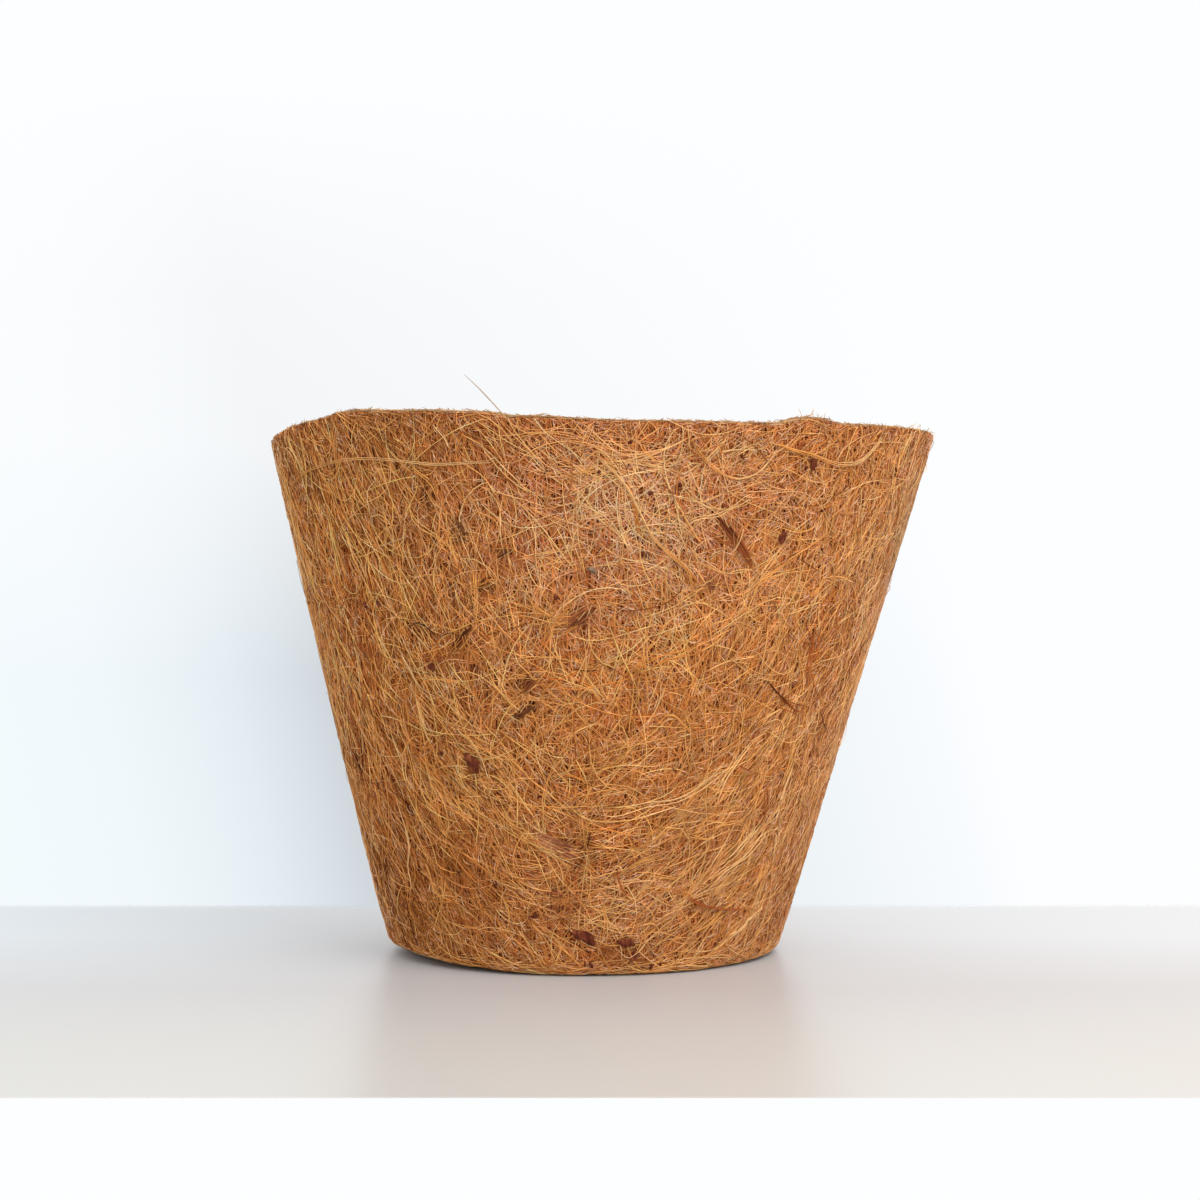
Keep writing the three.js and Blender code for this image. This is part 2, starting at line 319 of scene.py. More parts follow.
def add_map(mesh, corners):
    """The texture map that a bake goes through, one place for each corner."""
    layer = mesh.uv_layers.new(name="OFBake", do_init=False)
    layer.uv.foreach_set("vector", np.asarray(corners, np.float32).ravel())


def add_colours(mesh, colours):
    layer = mesh.color_attributes.new("tint", "FLOAT_COLOR", "POINT")
    filled = np.concatenate([colours, np.ones((len(colours), 1))], 1)
    layer.data.foreach_set("color", filled.astype(np.float32).ravel())


# Materials

class Nodes:
    """A material or world being built: a short way to add nodes and join them."""

    def __init__(self, name, material=None, shader="Principled BSDF"):
        self.material = material or bpy.data.materials.new(name)
        self.material.use_nodes = True
        self.tree = self.material.node_tree
        self.shader = self.tree.nodes[shader]

    def add(self, kind, **values):
        """A node. Each value goes to the input or the setting that has its name."""
        node = self.tree.nodes.new("ShaderNode" + kind)
        for key, value in values.items():
            if key in node.inputs:
                self.join(value, node.inputs[key])
            else:
                setattr(node, key, value)
        return node

    def join(self, source, target):
        """Joins an output to an input, or sets the input to a plain value."""
        if isinstance(source, bpy.types.NodeSocket):
            self.tree.links.new(source, target)
        else:
            target.default_value = source

    def place(self, space="Object"):
        return self.add("TexCoord").outputs[space]

    def axes(self, space="Object"):
        """The place's X, Y and Z."""
        return self.add("SeparateXYZ", Vector=self.place(space)).outputs

    def maths(self, operation, *values):
        node = self.add("Math", operation=operation)
        for value, target in zip(values, node.inputs):
            self.join(value, target)
        return node.outputs[0]

    def noise(self, vector, scale, detail=3.0):
        node = self.add("TexNoise", Vector=vector, Scale=scale, Detail=detail, Roughness=0.6)
        return node.outputs["Fac"]

    def stretched(self, vector, scale, turn):
        return self.add("Mapping", Vector=vector, Scale=scale, Rotation=turn).outputs["Vector"]

    def ramp(self, value, stops):
        node = self.add("ValToRGB", Fac=value)
        elements = node.color_ramp.elements
        while len(elements) < len(stops):
            elements.new(0.5)
        for element, (place, colour) in zip(elements, stops):
            element.position = place
            element.color = (*colour, 1.0)
        return node.outputs["Color"]

    def between(self, value, low, high, kind="LINEAR"):
        """A share from 0 to 1 as a value goes from low to high."""
        limits = {"Value": value, "From Min": low, "From Max": high}
        return self.add("MapRange", interpolation_type=kind, **limits).outputs["Result"]

    def ramp_over(self, value, stops):
        """A colour that goes with a value, from stops that are not yet between 0 and 1."""
        first, last = stops[0][0], stops[-1][0]
        shares = [((at - first) / (last - first), colour) for at, colour in stops]
        return self.ramp(self.between(value, first, last), shares)

    def mixed(self, blend, share, first, second):
        """Mixes two colours by a number or an output."""
        node = self.add("Mix", data_type="RGBA", blend_type=blend, Factor=share)
        self.join(first, node.inputs[6])
        self.join(second, node.inputs[7])
        return node.outputs[2]

    def bump(self, height, distance, strength):
        node = self.add("Bump", Height=height, Strength=strength, Distance=distance)
        self.join(node.outputs["Normal"], self.shader.inputs["Normal"])

    def finish(self, colour, roughness, specular):
        looks = {"Base Color": colour, "Roughness": roughness, "Specular IOR Level": specular}
        for key, value in looks.items():
            self.join(value, self.shader.inputs[key])
        return self.material

    def seen_by_camera(self):
        return self.add("LightPath").outputs["Is Camera Ray"]

    def send(self, output, share, first, second):
        """Sends a mix of two shaders to the tree's output."""
        node = self.add("MixShader", Fac=share)
        self.join(first.outputs[0], node.inputs[1])
        self.join(second.outputs[0], node.inputs[2])
        self.join(node.outputs[0], self.tree.nodes[output].inputs["Surface"])


def fibre_material():
    """Single coir fibres: each has its own tint, which carries painted shade, with faint blotches along it.
    """
    made = Nodes("coir_fibre")
    tint = made.add("Attribute", attribute_name="tint").outputs["Color"]
    blotch = made.noise(made.place(), 260.0, detail=2.0)
    shade = made.ramp(blotch, [(0.3, (0.82, 0.79, 0.76)), (0.7, (1.08, 1.08, 1.08))])
    return made.finish(made.mixed("MULTIPLY", 1.0, tint, shade), 0.6, 0.08)


def felt_material():
    """The matted felt under the fibres: dark between thin streaks that lie in several directions, the dark
    partly painted shade of the pores.
    """
    made = Nodes("coir_matting")
    place = made.place()
    streaks = None
    for turn in ((0.3, 0.9, 0.2), (1.3, 0.2, 1.0), (0.5, 2.2, 1.7)):
        fine = made.noise(made.stretched(place, (1.0, 0.12, 0.12), turn), 2600.0, detail=2.0)
        strand = made.ramp(fine, [(0.42, (0.0, 0.0, 0.0)), (0.62, (1.0, 1.0, 1.0))])
        streaks = strand if streaks is None else made.mixed("LIGHTEN", 1.0, streaks, strand)
    # Its darkest colour is partly the felt's own and partly painted shade in the pores between the fibres
    colour = made.ramp(streaks, [
        (0.1, linear(40, 14, 4)), (0.5, linear(116, 56, 20)), (1.0, linear(204, 132, 70)),
    ])
    patches = made.noise(place, 90.0)
    shade = made.ramp(patches, [(0.3, (0.75, 0.7, 0.66)), (0.7, (1.05, 1.05, 1.05))])
    made.bump(streaks, 0.0003, 0.8)
    return made.finish(made.mixed("MULTIPLY", 1.0, colour, shade), 0.9, 0.08)


def husk_material(name, dark, mid, light):
    """Shell or bark of the coconut, streaked along its length."""
    made = Nodes(name)
    place = made.place()
    grain = made.noise(made.stretched(place, (1.0, 1.0, 0.25), (0.0, 0.5, 0.0)), 1500.0)
    both = made.mixed("OVERLAY", 0.5, grain, made.noise(place, 420.0))
    made.bump(grain, 0.00025, 0.7)
    return made.finish(made.ramp(both, [(0.3, dark), (0.55, mid), (0.75, light)]), 0.7, 0.06)


FIBRE = fibre_material()
MATTING = felt_material()
DARK_HUSK = husk_material("dark_husk", linear(70, 30, 18), linear(104, 50, 32), linear(142, 82, 52))
GREY_HUSK = husk_material("grey_husk", linear(96, 70, 54), linear(132, 108, 90), linear(162, 140, 118))


# The felt's own body, a little under the fibres that lie on it

GRID = 1.1  # distance between points of the felt's surface
WALL_COLUMNS = 320
DISC_COLUMNS = 180
SINK = 0.45  # how far the matting lies below the felt's face
CUT_SINK = 0.3  # and below the rim's cut and the disc's underside
RELIEF = [(0.18, 2.4, 3), (0.12, 1.3, 4)]  # its swells: how high, how far apart, and a seed


def relief(points):
    return sum(height * field_noise(points, cell, seed) for height, cell, seed in RELIEF)


def turned_surface(outlines, closed, columns):
    """Rings of points over joined outlines, sunk and roughened, and the faces between them."""
    rings = []
    angles = np.arange(columns) * 360.0 / columns
    for outline, sink in outlines:
        count = max(2, int(outline.length / GRID))
        for run in np.linspace(0.0, outline.length, count, endpoint=False):
            runs = np.full(columns, run)
            rough = relief(outline.place(angles, runs, 0.0)) if sink else 0.0
            rings.append(outline.place(angles, runs, rough - sink))
    if not closed:
        outline, sink = outlines[-1]
        rings.append(outline.place(angles, np.full(columns, outline.length), -sink))
    rows = len(rings)
    lower = np.arange(rows if closed else rows - 1)[:, None]
    upper = (lower + 1) % rows
    column = np.arange(columns)
    beside = (column + 1) % columns
    corners = [(lower, column), (lower, beside), (upper, beside), (upper, column)]
    return np.stack(rings), np.stack([row * columns + place for row, place in corners], -1)


def felt_wall():
    """The conical wall with its foot and hem, one closed ring of matting."""
    hidden = [
        (inner_radius(DISC_TOP), DISC_TOP), (inner_radius(HEM_THICKNESS), HEM_THICKNESS),
        (HEM_INNER_RADIUS, HEM_THICKNESS), (HEM_INNER_RADIUS, 0.0),
    ]
    outlines = [(OUTSIDE, SINK), (RIM_FACE, CUT_SINK), (INSIDE, SINK)]
    outlines += [(Outline(ends), 0.0) for ends in zip(hidden, hidden[1:])]
    points, faces = turned_surface(outlines, True, WALL_COLUMNS)
    belongs(new_mesh("felt_wall", points, faces, 4, MATTING), "side_wall")


def felt_disc():
    """The dished disc that closes the bottom."""
    shelf = HEM_THICKNESS + GAP
    plug = HEM_INNER_RADIUS - GAP
    sides = Outline([
        (plug, 0.0), (plug, shelf), (inner_radius(shelf) - GAP, shelf),
        (inner_radius(DISC_TOP) - GAP, DISC_TOP),
    ])
    outlines = [(DISC_UNDER, CUT_SINK), (sides, 0.0), (DISC_UPPER, SINK)]
    points, faces = turned_surface(outlines, False, DISC_COLUMNS)
    belongs(new_mesh("felt_disc", points, faces, 4, MATTING), "base_disc")


# The fibres

SIDES = 3  # of a fibre's section
PIECE_TRIANGLES = 190000  # the most that one mesh of fibres is given
MAP_MARGINS = (0.12, 0.88)  # what a fibre takes up of its cell of the texture map
MEND_STOPS = 16  # points along a strand whose stops are listed

# Tints of coir, as they show, and how common each is
TINTS = [
    ((241, 204, 152), 0.17),  # pale
    ((237, 192, 132), 0.29),  # tan
    ((233, 182, 118), 0.26),  # orange tan
    ((216, 150, 88), 0.12),  # orange brown
    ((182, 110, 58), 0.06),  # brown
    ((236, 186, 138), 0.08),  # pinkish
    ((128, 68, 32), 0.02),  # dark brown
]

TONES = {
    "pale": (240, 194, 134), "golden": (236, 170, 94), "amber": (216, 140, 68),
    "russet": (184, 100, 50), "dark": (88, 42, 20), "olive": (132, 88, 42), "ash": (166, 138, 112),
}

# How the fibres lie on the outside: angle, height, direction in degrees up from the horizontal
# to the right, how far that reaches round and up in millimetres, and how strictly they keep it
LIE = [
    (-78, 90, 100, 24, 40, 0.7),
    (-78, 30, 98, 20, 30, 0.7),
    (-60, 100, 106, 18, 18, 0.65),
    (-45, 108, 120, 20, 9, 0.5),
    (-44, 88, 110, 20, 20, 0.8),
    (-25, 104, 126, 16, 10, 0.4),
    (-22, 84, 100, 14, 14, 0.35),
    (-62, 58, 94, 18, 22, 0.8),
    (-40, 54, 116, 16, 14, 0.7),
    (-28, 38, 130, 16, 12, 0.8),
    (-44, 26, 120, 14, 12, 0.7),
    (-24, 24, 142, 12, 8, 0.6),
    (-30, 8, 132, 18, 8, 0.6),
    (-8, 22, 165, 9, 6, 0.5),
    (-4, 106, 140, 14, 8, 0.3),
    (12, 20, 22, 12, 8, 0.7),
    (8, 36, 12, 10, 5, 0.5),
    (22, 40, 34, 12, 7, 0.7),
    (28, 24, 42, 12, 12, 0.85),
    (36, 42, 56, 12, 14, 0.85),
    (40, 14, 48, 14, 12, 0.8),
    (52, 36, 66, 14, 24, 0.85),
    (70, 60, 76, 16, 50, 0.4),
    (52, 84, 82, 14, 14, 0.15),
    (16, 94, 126, 7, 14, 0.55),
    (24, 112, 30, 10, 6, 0.5),
    (34, 70, 96, 10, 12, 0.35),
    (-20, 66, 40, 10, 8, 0.2),
    (140, 70, 72, 40, 40, 0.6),
    (180, 40, 120, 30, 30, 0.7),
    (180, 95, 40, 26, 18, 0.5),
    (-140, 60, 84, 40, 40, 0.6),
    (-120, 25, 55, 24, 18, 0.7),
    (115, 20, 128, 24, 18, 0.7),
]

# Parts of the outside whose fibres differ in tone, a few of them painted shade: angle, height, how far
# that reaches round and up in millimetres, and what it does to red, green and blue
PATCHES = [
    (-4, 76, 4.5, 3.0, (0.58, 0.44, 0.50)),
    (-13, 62, 4.5, 2.5, (0.66, 0.56, 0.50)),
    (-20, 83, 3.5, 4.0, (0.74, 0.62, 0.54)),
    (-17, 89, 3.0, 2.5, (0.74, 0.60, 0.52)),
    (-26, 70, 3.0, 3.0, (0.70, 0.60, 0.50)),
    (-34, 68, 5.0, 1.5, (0.76, 0.64, 0.52)),
    (21, 84, 4.5, 3.0, (0.74, 0.60, 0.54)),
    (24, 94, 5.0, 5.0, (0.84, 0.72, 0.62)),
    (3, 113, 9.0, 3.0, (0.98, 0.84, 0.78)),
    (-28, 109, 12.0, 5.0, (0.92, 0.84, 0.74)),
    (-50, 66, 3.0, 8.0, (0.76, 0.64, 0.54)),
    (-63, 46, 3.5, 7.0, (0.82, 0.73, 0.68)),
    (50, 69, 3.5, 5.0, (0.82, 0.70, 0.60)),
    (60, 53, 3.0, 6.0, (0.80, 0.70, 0.62)),
    (-2, 26, 3.0, 6.0, (0.64, 0.54, 0.46)),
    (-5, 16, 4.0, 2.5, (0.70, 0.60, 0.54)),
    (-33, 22, 6.0, 4.0, (0.78, 0.70, 0.58)),
    (-53, 12, 5.0, 4.0, (0.76, 0.68, 0.56)),
    (37, 43, 3.0, 2.5, (0.80, 0.74, 0.70)),
    (10, 5, 6.0, 3.0, (0.62, 0.50, 0.44)),
    (-40, 48, 2.5, 2.0, (0.70, 0.60, 0.54)),
    (4, 97, 10.0, 8.0, (1.05, 1.09, 1.13)),
    (6, 98, 36.0, 18.0, (1.07, 1.12, 1.5)),
    (-20, 76, 30.0, 34.0, (1.11, 1.08, 1.09)),
    # painted reddish shade low on the pot's left
    (-48, 22, 24.0, 24.0, (0.93, 0.82, 0.73)),
    (0, 10, 46.0, 10.0, (0.95, 0.95, 0.98)),
    (40, 22, 26.0, 24.0, (0.92, 0.93, 0.95)),
    (56, 68, 20.0, 30.0, (0.94, 0.97, 1.0)),
    # painted reddish bounce light on the pot's left, lighter where its painted shade darkens the mid-tones
    (-62, 80, 24.0, 44.0, (1.20, 1.06, 0.99)),
    (14, 76, 7.0, 6.0, (1.06, 1.10, 1.14)),
    (12, 18, 13.0, 9.0, (1.06, 1.12, 1.26)),
    (24, 111, 6.0, 3.0, (1.12, 1.16, 1.14)),
    # painted shade where the wall turns away at the pot's right side
    (86, 50, 30.0, 90.0, (0.77, 0.79, 1.0)),
    (80, 12, 16.0, 16.0, (0.84, 0.80, 0.72)),
    # this and the next: painted shade where the wall turns away at the pot's sides
    (84, 98, 25.0, 18.0, (0.71, 0.79, 0.95)),
    (-84, 60, 24.0, 70.0, (0.81, 0.81, 0.98)),
]
# Slow swells of tone all over the felt: how wide, a seed, and how much they change each colour
SWELLS = [(17.0, 21, (0.04, 0.06, 0.08)), (6.0, 22, (0.02, 0.03, 0.04))]
DULL_RIM_FROM = 114.0  # the fibres are darker and bluer from this height to the felt's cut edge
DULL_RIM_TONE = (0.90, 0.90, 1.02)

FOOT_LIP = 2.4  # up to about this height the fibres run round the foot
LIP_WEIGHT = 3.0  # against a weight of 1 for a row of LIE
LIP_STRICT = 0.95
LIE_LOOSE = 0.35  # the weight of no direction at all


def nearness(angle, height, centre, level, reach, rise):
    """1 at a place of the wall, fading over a distance that is given round and up."""
    across = np.radians(turned(angle - centre)) * wall_radius(height) / reach
    return np.exp(-(across**2 + ((height - level) / rise) ** 2))


def lie_at(angle, height):
    """The direction that the fibres keep at a place, in radians, and how strictly."""
    lip = LIP_WEIGHT * np.exp(-((height / FOOT_LIP) ** 2))
    total = lip * LIP_STRICT + np.zeros(angle.shape, complex)
    weights = LIE_LOOSE + lip
    for centre, level, direction, reach, rise, strict in LIE:
        weight = nearness(angle, height, centre, level, reach, rise)
        # Twice the angle, because a fibre lies both ways at once
        total += weight * strict * np.exp(2j * math.radians(direction))
        weights += weight
    mean = total / weights
    return np.angle(mean) / 2, np.abs(mean)


def change_by(share, change):
    return 1.0 + share[..., None] * (np.array(change) - 1.0)


def tone_at(points, angle=None, height=None):
    """What the place does to a fibre's tint: the felt is golden here and reddish there, with painted shade
    at the pot's sides and left.
    """
    tone = 1.0
    for cell, seed, change in SWELLS:
        tone = tone + field_noise(points, cell, seed)[..., None] * np.array(change)
    if angle is not None:
        for *spot, change in PATCHES:
            tone = tone * change_by(nearness(angle, height, *spot), change)
        # darker and bluer towards the rim's cut edge
        dull_rim = smoothstep((height - DULL_RIM_FROM) / (POT_HEIGHT - DULL_RIM_FROM))
        tone = tone * change_by(dull_rim, DULL_RIM_TONE)
    return tone


@dataclass
class Kind:
    """One sort of fibre. Each pair is a least and a greatest value in millimetres."""

    length: tuple
    lift: tuple
    width: tuple
    stops: int
    bundled: float = 0.0  # the share of leaders that have others beside them
    curled: float = 0.0  # the share that turn tightly
    loose: float = 0.24  # how far they stray from the way that the felt lies, in radians
    shade: tuple = (1.0, 1.0, 1.0)  # what the kind does to the red, green and blue of a tint
    spread: float = 0.13  # how unevenly light they are

    def triangles(self):
        return (self.stops - 1) * SIDES * 2 + 2


LONG = Kind((8.0, 28.0), (-0.34, 0.06), (0.12, 0.25), 9, 0.05, 0.1, shade=(1.10, 0.97, 0.74))
FLUFF = Kind((1.8, 5.5), (-0.4, 0.03), (0.1, 0.2), 3, 0.0, 0.15, 0.45, (1.15, 1.10, 1.38), 0.3)
INNER_LONG = Kind((9.0, 28.0), (-0.34, 0.12), (0.16, 0.32), 8, 0.05, 0.15, shade=0.94)
INNER_FLUFF = Kind((3.0, 8.0), (-0.46, -0.02), (0.12, 0.22), 3, 0.0, 0.15, shade=0.92)
FLAT_LONG = Kind((6.0, 18.0), (-0.34, 0.1), (0.16, 0.32), 7, 0.05, 0.2, shade=0.94)
UNDER_LONG = Kind((6.0, 18.0), (-0.5, -0.16), (0.16, 0.3), 7, 0.05, 0.2, shade=0.9)

# What is strewn: a name, the surface, how many leaders, their kind, and whether they follow LIE
STREWN = [
    ("outer_fluff", OUTSIDE, 92000, FLUFF, True),
    ("outer_fibres", OUTSIDE, 12500, LONG, True),
    ("inner_fluff", INSIDE, 16000, INNER_FLUFF, False),
    ("inner_fibres", INSIDE, 7000, INNER_LONG, False),
    ("floor_fibres", DISC_UPPER, 2600, FLAT_LONG, False),
    ("underside_fibres", DISC_UNDER, 1500, UNDER_LONG, False),
]

BUNDLE = (3, 8)  # fibres in a bundle
BUNDLE_SPREAD = 0.45  # how far they lie aside, in millimetres
BUNDLE_SLIP = 3.0  # how far their ends are apart
OWN_TINT = 0.65  # the share of its own tint that a fibre has beside its leader's
# And how unlike its leader's its heading, bend and lift are, and its length by the leader's
OWN_HEADING, OWN_BEND, OWN_LIFT, OWN_LENGTH = 0.06, 0.006, 0.1, (0.8, 1.15)
KEEP_LEAST, KEEP_MORE = 0.1, 1.2  # the share that keep to LIE where it's loose, and more where strict
CURL_BEND, PLAIN_BEND = 0.2, 0.045  # how sharply fibres turn, in radians a millimetre
LEAST_BEND = 0.03  # no fibre is cut shorter for bending less than this
TURN_MOST = 1.9  # a fibre's whole turn, in radians
# A fibre's bend swells and fades along it: by what share, how fast, and how unlike other fibres'
BEND_SWING, BEND_WAVES, BEND_PHASE = 0.9, 5.0, 60.0
WANDER, WANDER_STEP = 0.06, 0.6  # how far fibres wander from their bend, and how much more each step
PULL = 0.02  # how fast a fibre turns into the way that the felt lies
SHORTEST = 1.5  # a fibre cut shorter by the edge is left out
WEAVE, WEAVES = 0.12, (0.7, 2.2)  # how far fibres pass over and under each other, and how often
END_DIVE, END_SHARE = 0.3, 0.2  # how deep a fibre's ends dive, and how much of it each end is
FLATNESS = (0.5, 0.9)  # a fibre's thickness by its width
LIGHTEST = (0.94, 0.68, 0.44)  # the most red, green and blue that a tint has
# Painted shade, with its warm bounce: fibres that lie deep are darker and redder. Two lifts, how the
# change goes between them, what the deeper does to a tint, and what more it does on the pot's left,
# which is painted as more shaded, and on the pale ground
DEEPEST, TOPMOST = -0.5, 0.05
DEPTH_CURVE = 0.65
DEEP_PAINTED_SHADE = (0.70, 0.36, 0.18)
LEFT_PAINTED_SHADE = (0.34, 0.27, 0.12)
PALE_SHADE = (1.5, 1.9, 2.8)
PALE_GROUND = (8, 98, 32.0, 22.0)  # its angle and height, and its reach round and up
LEFT_PAINTED_CONTRAST = 0.9  # painted light and shade: how much more the fibres of the pot's left differ in lightness
LEFT_FROM = -10.0  # the angle where the pot's left begins


def drawn_fibres(outline, rng, count, kind, follow):
    """Start, heading, length and looks of each fibre, bundles written out one by one."""
    angle = rng.uniform(-180, 180, count)
    run = outline.run_at(rng.uniform(0, 1, count))
    heading = rng.uniform(0, math.pi, count)
    if follow:
        height = np.interp(run, outline.runs, outline.heights)
        wanted, strict = lie_at(angle, height)
        keeps = rng.uniform(0, 1, count) < KEEP_LEAST + KEEP_MORE * strict
        heading = np.where(keeps, wanted + rng.normal(0, kind.loose, count), heading)
    heading += math.pi * rng.integers(0, 2, count)
    length = rng.uniform(*kind.length, count)
    tight = rng.uniform(0, 1, count) < kind.curled
    bend = np.where(tight, rng.normal(0, CURL_BEND, count), rng.normal(0, PLAIN_BEND, count))
    length = np.minimum(length, TURN_MOST / np.maximum(np.abs(bend), LEAST_BEND))
    lift = rng.uniform(*kind.lift, count)
    tint = tinted(rng, count, kind.shade, kind.spread)
    members = np.where(rng.uniform(0, 1, count) < kind.bundled, rng.integers(*BUNDLE, count), 1)
    parent = np.repeat(np.arange(count), members)
    total = len(parent)
    beside = members[parent] > 1
    aside = np.where(beside, rng.normal(0, BUNDLE_SPREAD, total), 0.0)
    slip = np.where(beside, rng.uniform(-BUNDLE_SLIP, BUNDLE_SLIP, total), 0.0)
    radius = np.maximum(outline.radius(run[parent]), 1.0)
    sine, cosine = np.sin(heading[parent]), np.cos(heading[parent])
    own = np.where(beside[:, None], tinted(rng, total, kind.shade, kind.spread), tint[parent])
    return {
        "angle": angle[parent] + np.degrees((slip * cosine - aside * sine) / radius),
        "run": np.clip(run[parent] + slip * sine + aside * cosine, 0.0, outline.length),
        "heading": heading[parent] + np.where(beside, rng.normal(0, OWN_HEADING, total), 0.0),
        "length": length[parent] * np.where(beside, rng.uniform(*OWN_LENGTH, total), 1.0),
        "bend": bend[parent] + np.where(beside, rng.normal(0, OWN_BEND, total), 0.0),
        "lift": np.clip(
            lift[parent] + np.where(beside, rng.normal(0, OWN_LIFT, total), 0.0), *kind.lift),
        "width": rng.uniform(*kind.width, total),
        "tint": OWN_TINT * own + (1 - OWN_TINT) * tint[parent],
    }


LIGHTNESS = (0.6, 1.4)  # the least and the most of a fibre by its kind's


def tinted(rng, count, shade=1.0, spread=0.13):
    """A tint for each fibre, drawn from the kinds of coir."""
    kinds = np.array([linear(*tint) for tint, _ in TINTS])
    chance = np.array([share for _, share in TINTS])
    drawn = kinds[rng.choice(len(TINTS), count, p=chance / chance.sum())]
    return drawn * np.clip(rng.normal(1.0, spread, (count, 1)), *LIGHTNESS) * shade


def walked(outline, fibres, wander, follow, stops):
    """Takes each fibre over the surface. Returns its angles and runs at each stop."""
    angle, run, heading = fibres["angle"], fibres["run"], fibres["heading"]
    step = fibres["length"] / (stops - 1)
    angles, runs = [angle], [run]
    for number in range(stops - 1):
        phase = BEND_PHASE * fibres["bend"]
        uneven = 1.0 + BEND_SWING * np.sin(BEND_WAVES * number / stops + phase)
        heading = heading + fibres["bend"] * uneven * step + WANDER * wander[number] * np.sqrt(step)
        if follow:
            height = np.interp(run, outline.runs, outline.heights)
            wanted, strict = lie_at(angle, height)
            heading = heading + PULL * step * strict * np.sin(2 * (wanted - heading))
        radius = np.maximum(outline.radius(run), 1.0)
        angle = angle + np.degrees(step * np.cos(heading) / radius)
        run = run + step * np.sin(heading)
        angles.append(angle)
        runs.append(run)
    return np.stack(angles, 1), np.stack(runs, 1)


def laid_fibres(outline, rng, count, kind, follow):
    """Fibres strewn over a surface, those that cross its edge cut off there."""
    fibres = drawn_fibres(outline, rng, count, kind, follow)
    total = len(fibres["angle"])
    wander = np.cumsum(rng.normal(0, WANDER_STEP, (kind.stops - 1, total)), 0)
    _, runs = walked(outline, fibres, wander, follow, kind.stops)
    outside = (runs < 0) | (runs > outline.length)
    first_out = np.where(outside.any(1), outside.argmax(1), kind.stops)
    fibres["length"] = fibres["length"] * np.clip((first_out - 0.5) / (kind.stops - 1), 0.0, 1.0)
    whole = fibres["length"] > SHORTEST
    fibres = {key: value[whole] for key, value in fibres.items()}
    angles, runs = walked(outline, fibres, wander[:, whole], follow, kind.stops)
    runs = np.clip(runs, 0.0, outline.length)
    share = np.linspace(0, 1, kind.stops)
    waves = rng.uniform(*WEAVES, (len(runs), 1))
    phase = rng.uniform(0, 2 * math.pi, (len(runs), 1))
    weave = WEAVE * np.sin(2 * math.pi * waves * share + phase)
    dive = END_DIVE * (1 - np.minimum(1, np.minimum(share, 1 - share) / END_SHARE)) ** 2
    return fibres, angles, runs, fibres["lift"][:, None] + weave - dive


BLUNT, POINTED = 0.35, 4.0  # how wide a fibre's ends are, and how fast it reaches its width
CLEAR = 0.02  # least gap between a fibre and the ground


def tubes(centres, normals, widths, thicknesses):
    """Points and triangles of one tapered tube for each row of centres."""
    count, stops, _ = centres.shape
    along = np.gradient(centres, axis=1)
    along /= np.maximum(np.linalg.norm(along, axis=2, keepdims=True), 1e-9)
    side = np.cross(along, normals)
    side /= np.maximum(np.linalg.norm(side, axis=2, keepdims=True), 1e-9)
    up = np.cross(side, along)
    share = np.linspace(0, 1, stops)
    taper = np.minimum(1, BLUNT + POINTED * np.minimum(share, 1 - share))[None, :, None]
    rings = []
    for i in range(SIDES):
        turn = 2 * math.pi * i / SIDES + math.pi / 2
        reach = math.cos(turn) * widths[:, None, None] * side
        reach += math.sin(turn) * thicknesses[:, None, None] * up
        rings.append(centres + 0.5 * taper * reach)
    first = np.arange(count)[:, None, None] * stops * SIDES
    ring = np.arange(stops - 1)[None, :, None] * SIDES
    at = np.arange(SIDES)
    a, b = first + ring + at, first + ring + (at + 1) % SIDES
    c, d = b + SIDES, a + SIDES
    walls = np.concatenate([np.stack([a, b, c], -1), np.stack([a, c, d], -1)], 2).reshape(-1, 3)
    near = first[:, :, 0] + at
    far = near + (stops - 1) * SIDES
    return np.stack(rings, 2).reshape(-1, 3), np.concatenate([walls, near[:, ::-1], far])


def fibre_piece(name, centres, normals, widths, colours, flat=1.0, slot="coir_felt", node=None):
    """One mesh of fibres, each with its tint and a cell of the texture map.

    Flat is their thickness by their width.
    """
    count, stops, _ = centres.shape
    thicknesses = widths * flat
    centres[..., 2] = np.maximum(centres[..., 2], thicknesses[:, None] / 2 + CLEAR)
    points, faces = tubes(centres, normals, widths, thicknesses)
    piece = new_mesh(name, points, faces, 3, FIBRE)
    if colours.ndim == 2:
        colours = np.repeat(colours[:, None, :], stops, axis=1)
    add_colours(piece.data, np.repeat(colours.reshape(-1, 3), SIDES, axis=0))
    cells = max(1, math.ceil(math.sqrt(count)))
    number = np.arange(count)
    corner = np.stack([number % cells, number // cells], -1)[:, None, None, :]
    along, across = np.meshgrid(
        np.linspace(*MAP_MARGINS, stops), np.linspace(*MAP_MARGINS, SIDES), indexing="ij")
    places = (corner + np.stack([across, along], -1)) / cells
    add_map(piece.data, places.reshape(-1, 2)[faces.ravel()])
    belongs(piece, node)


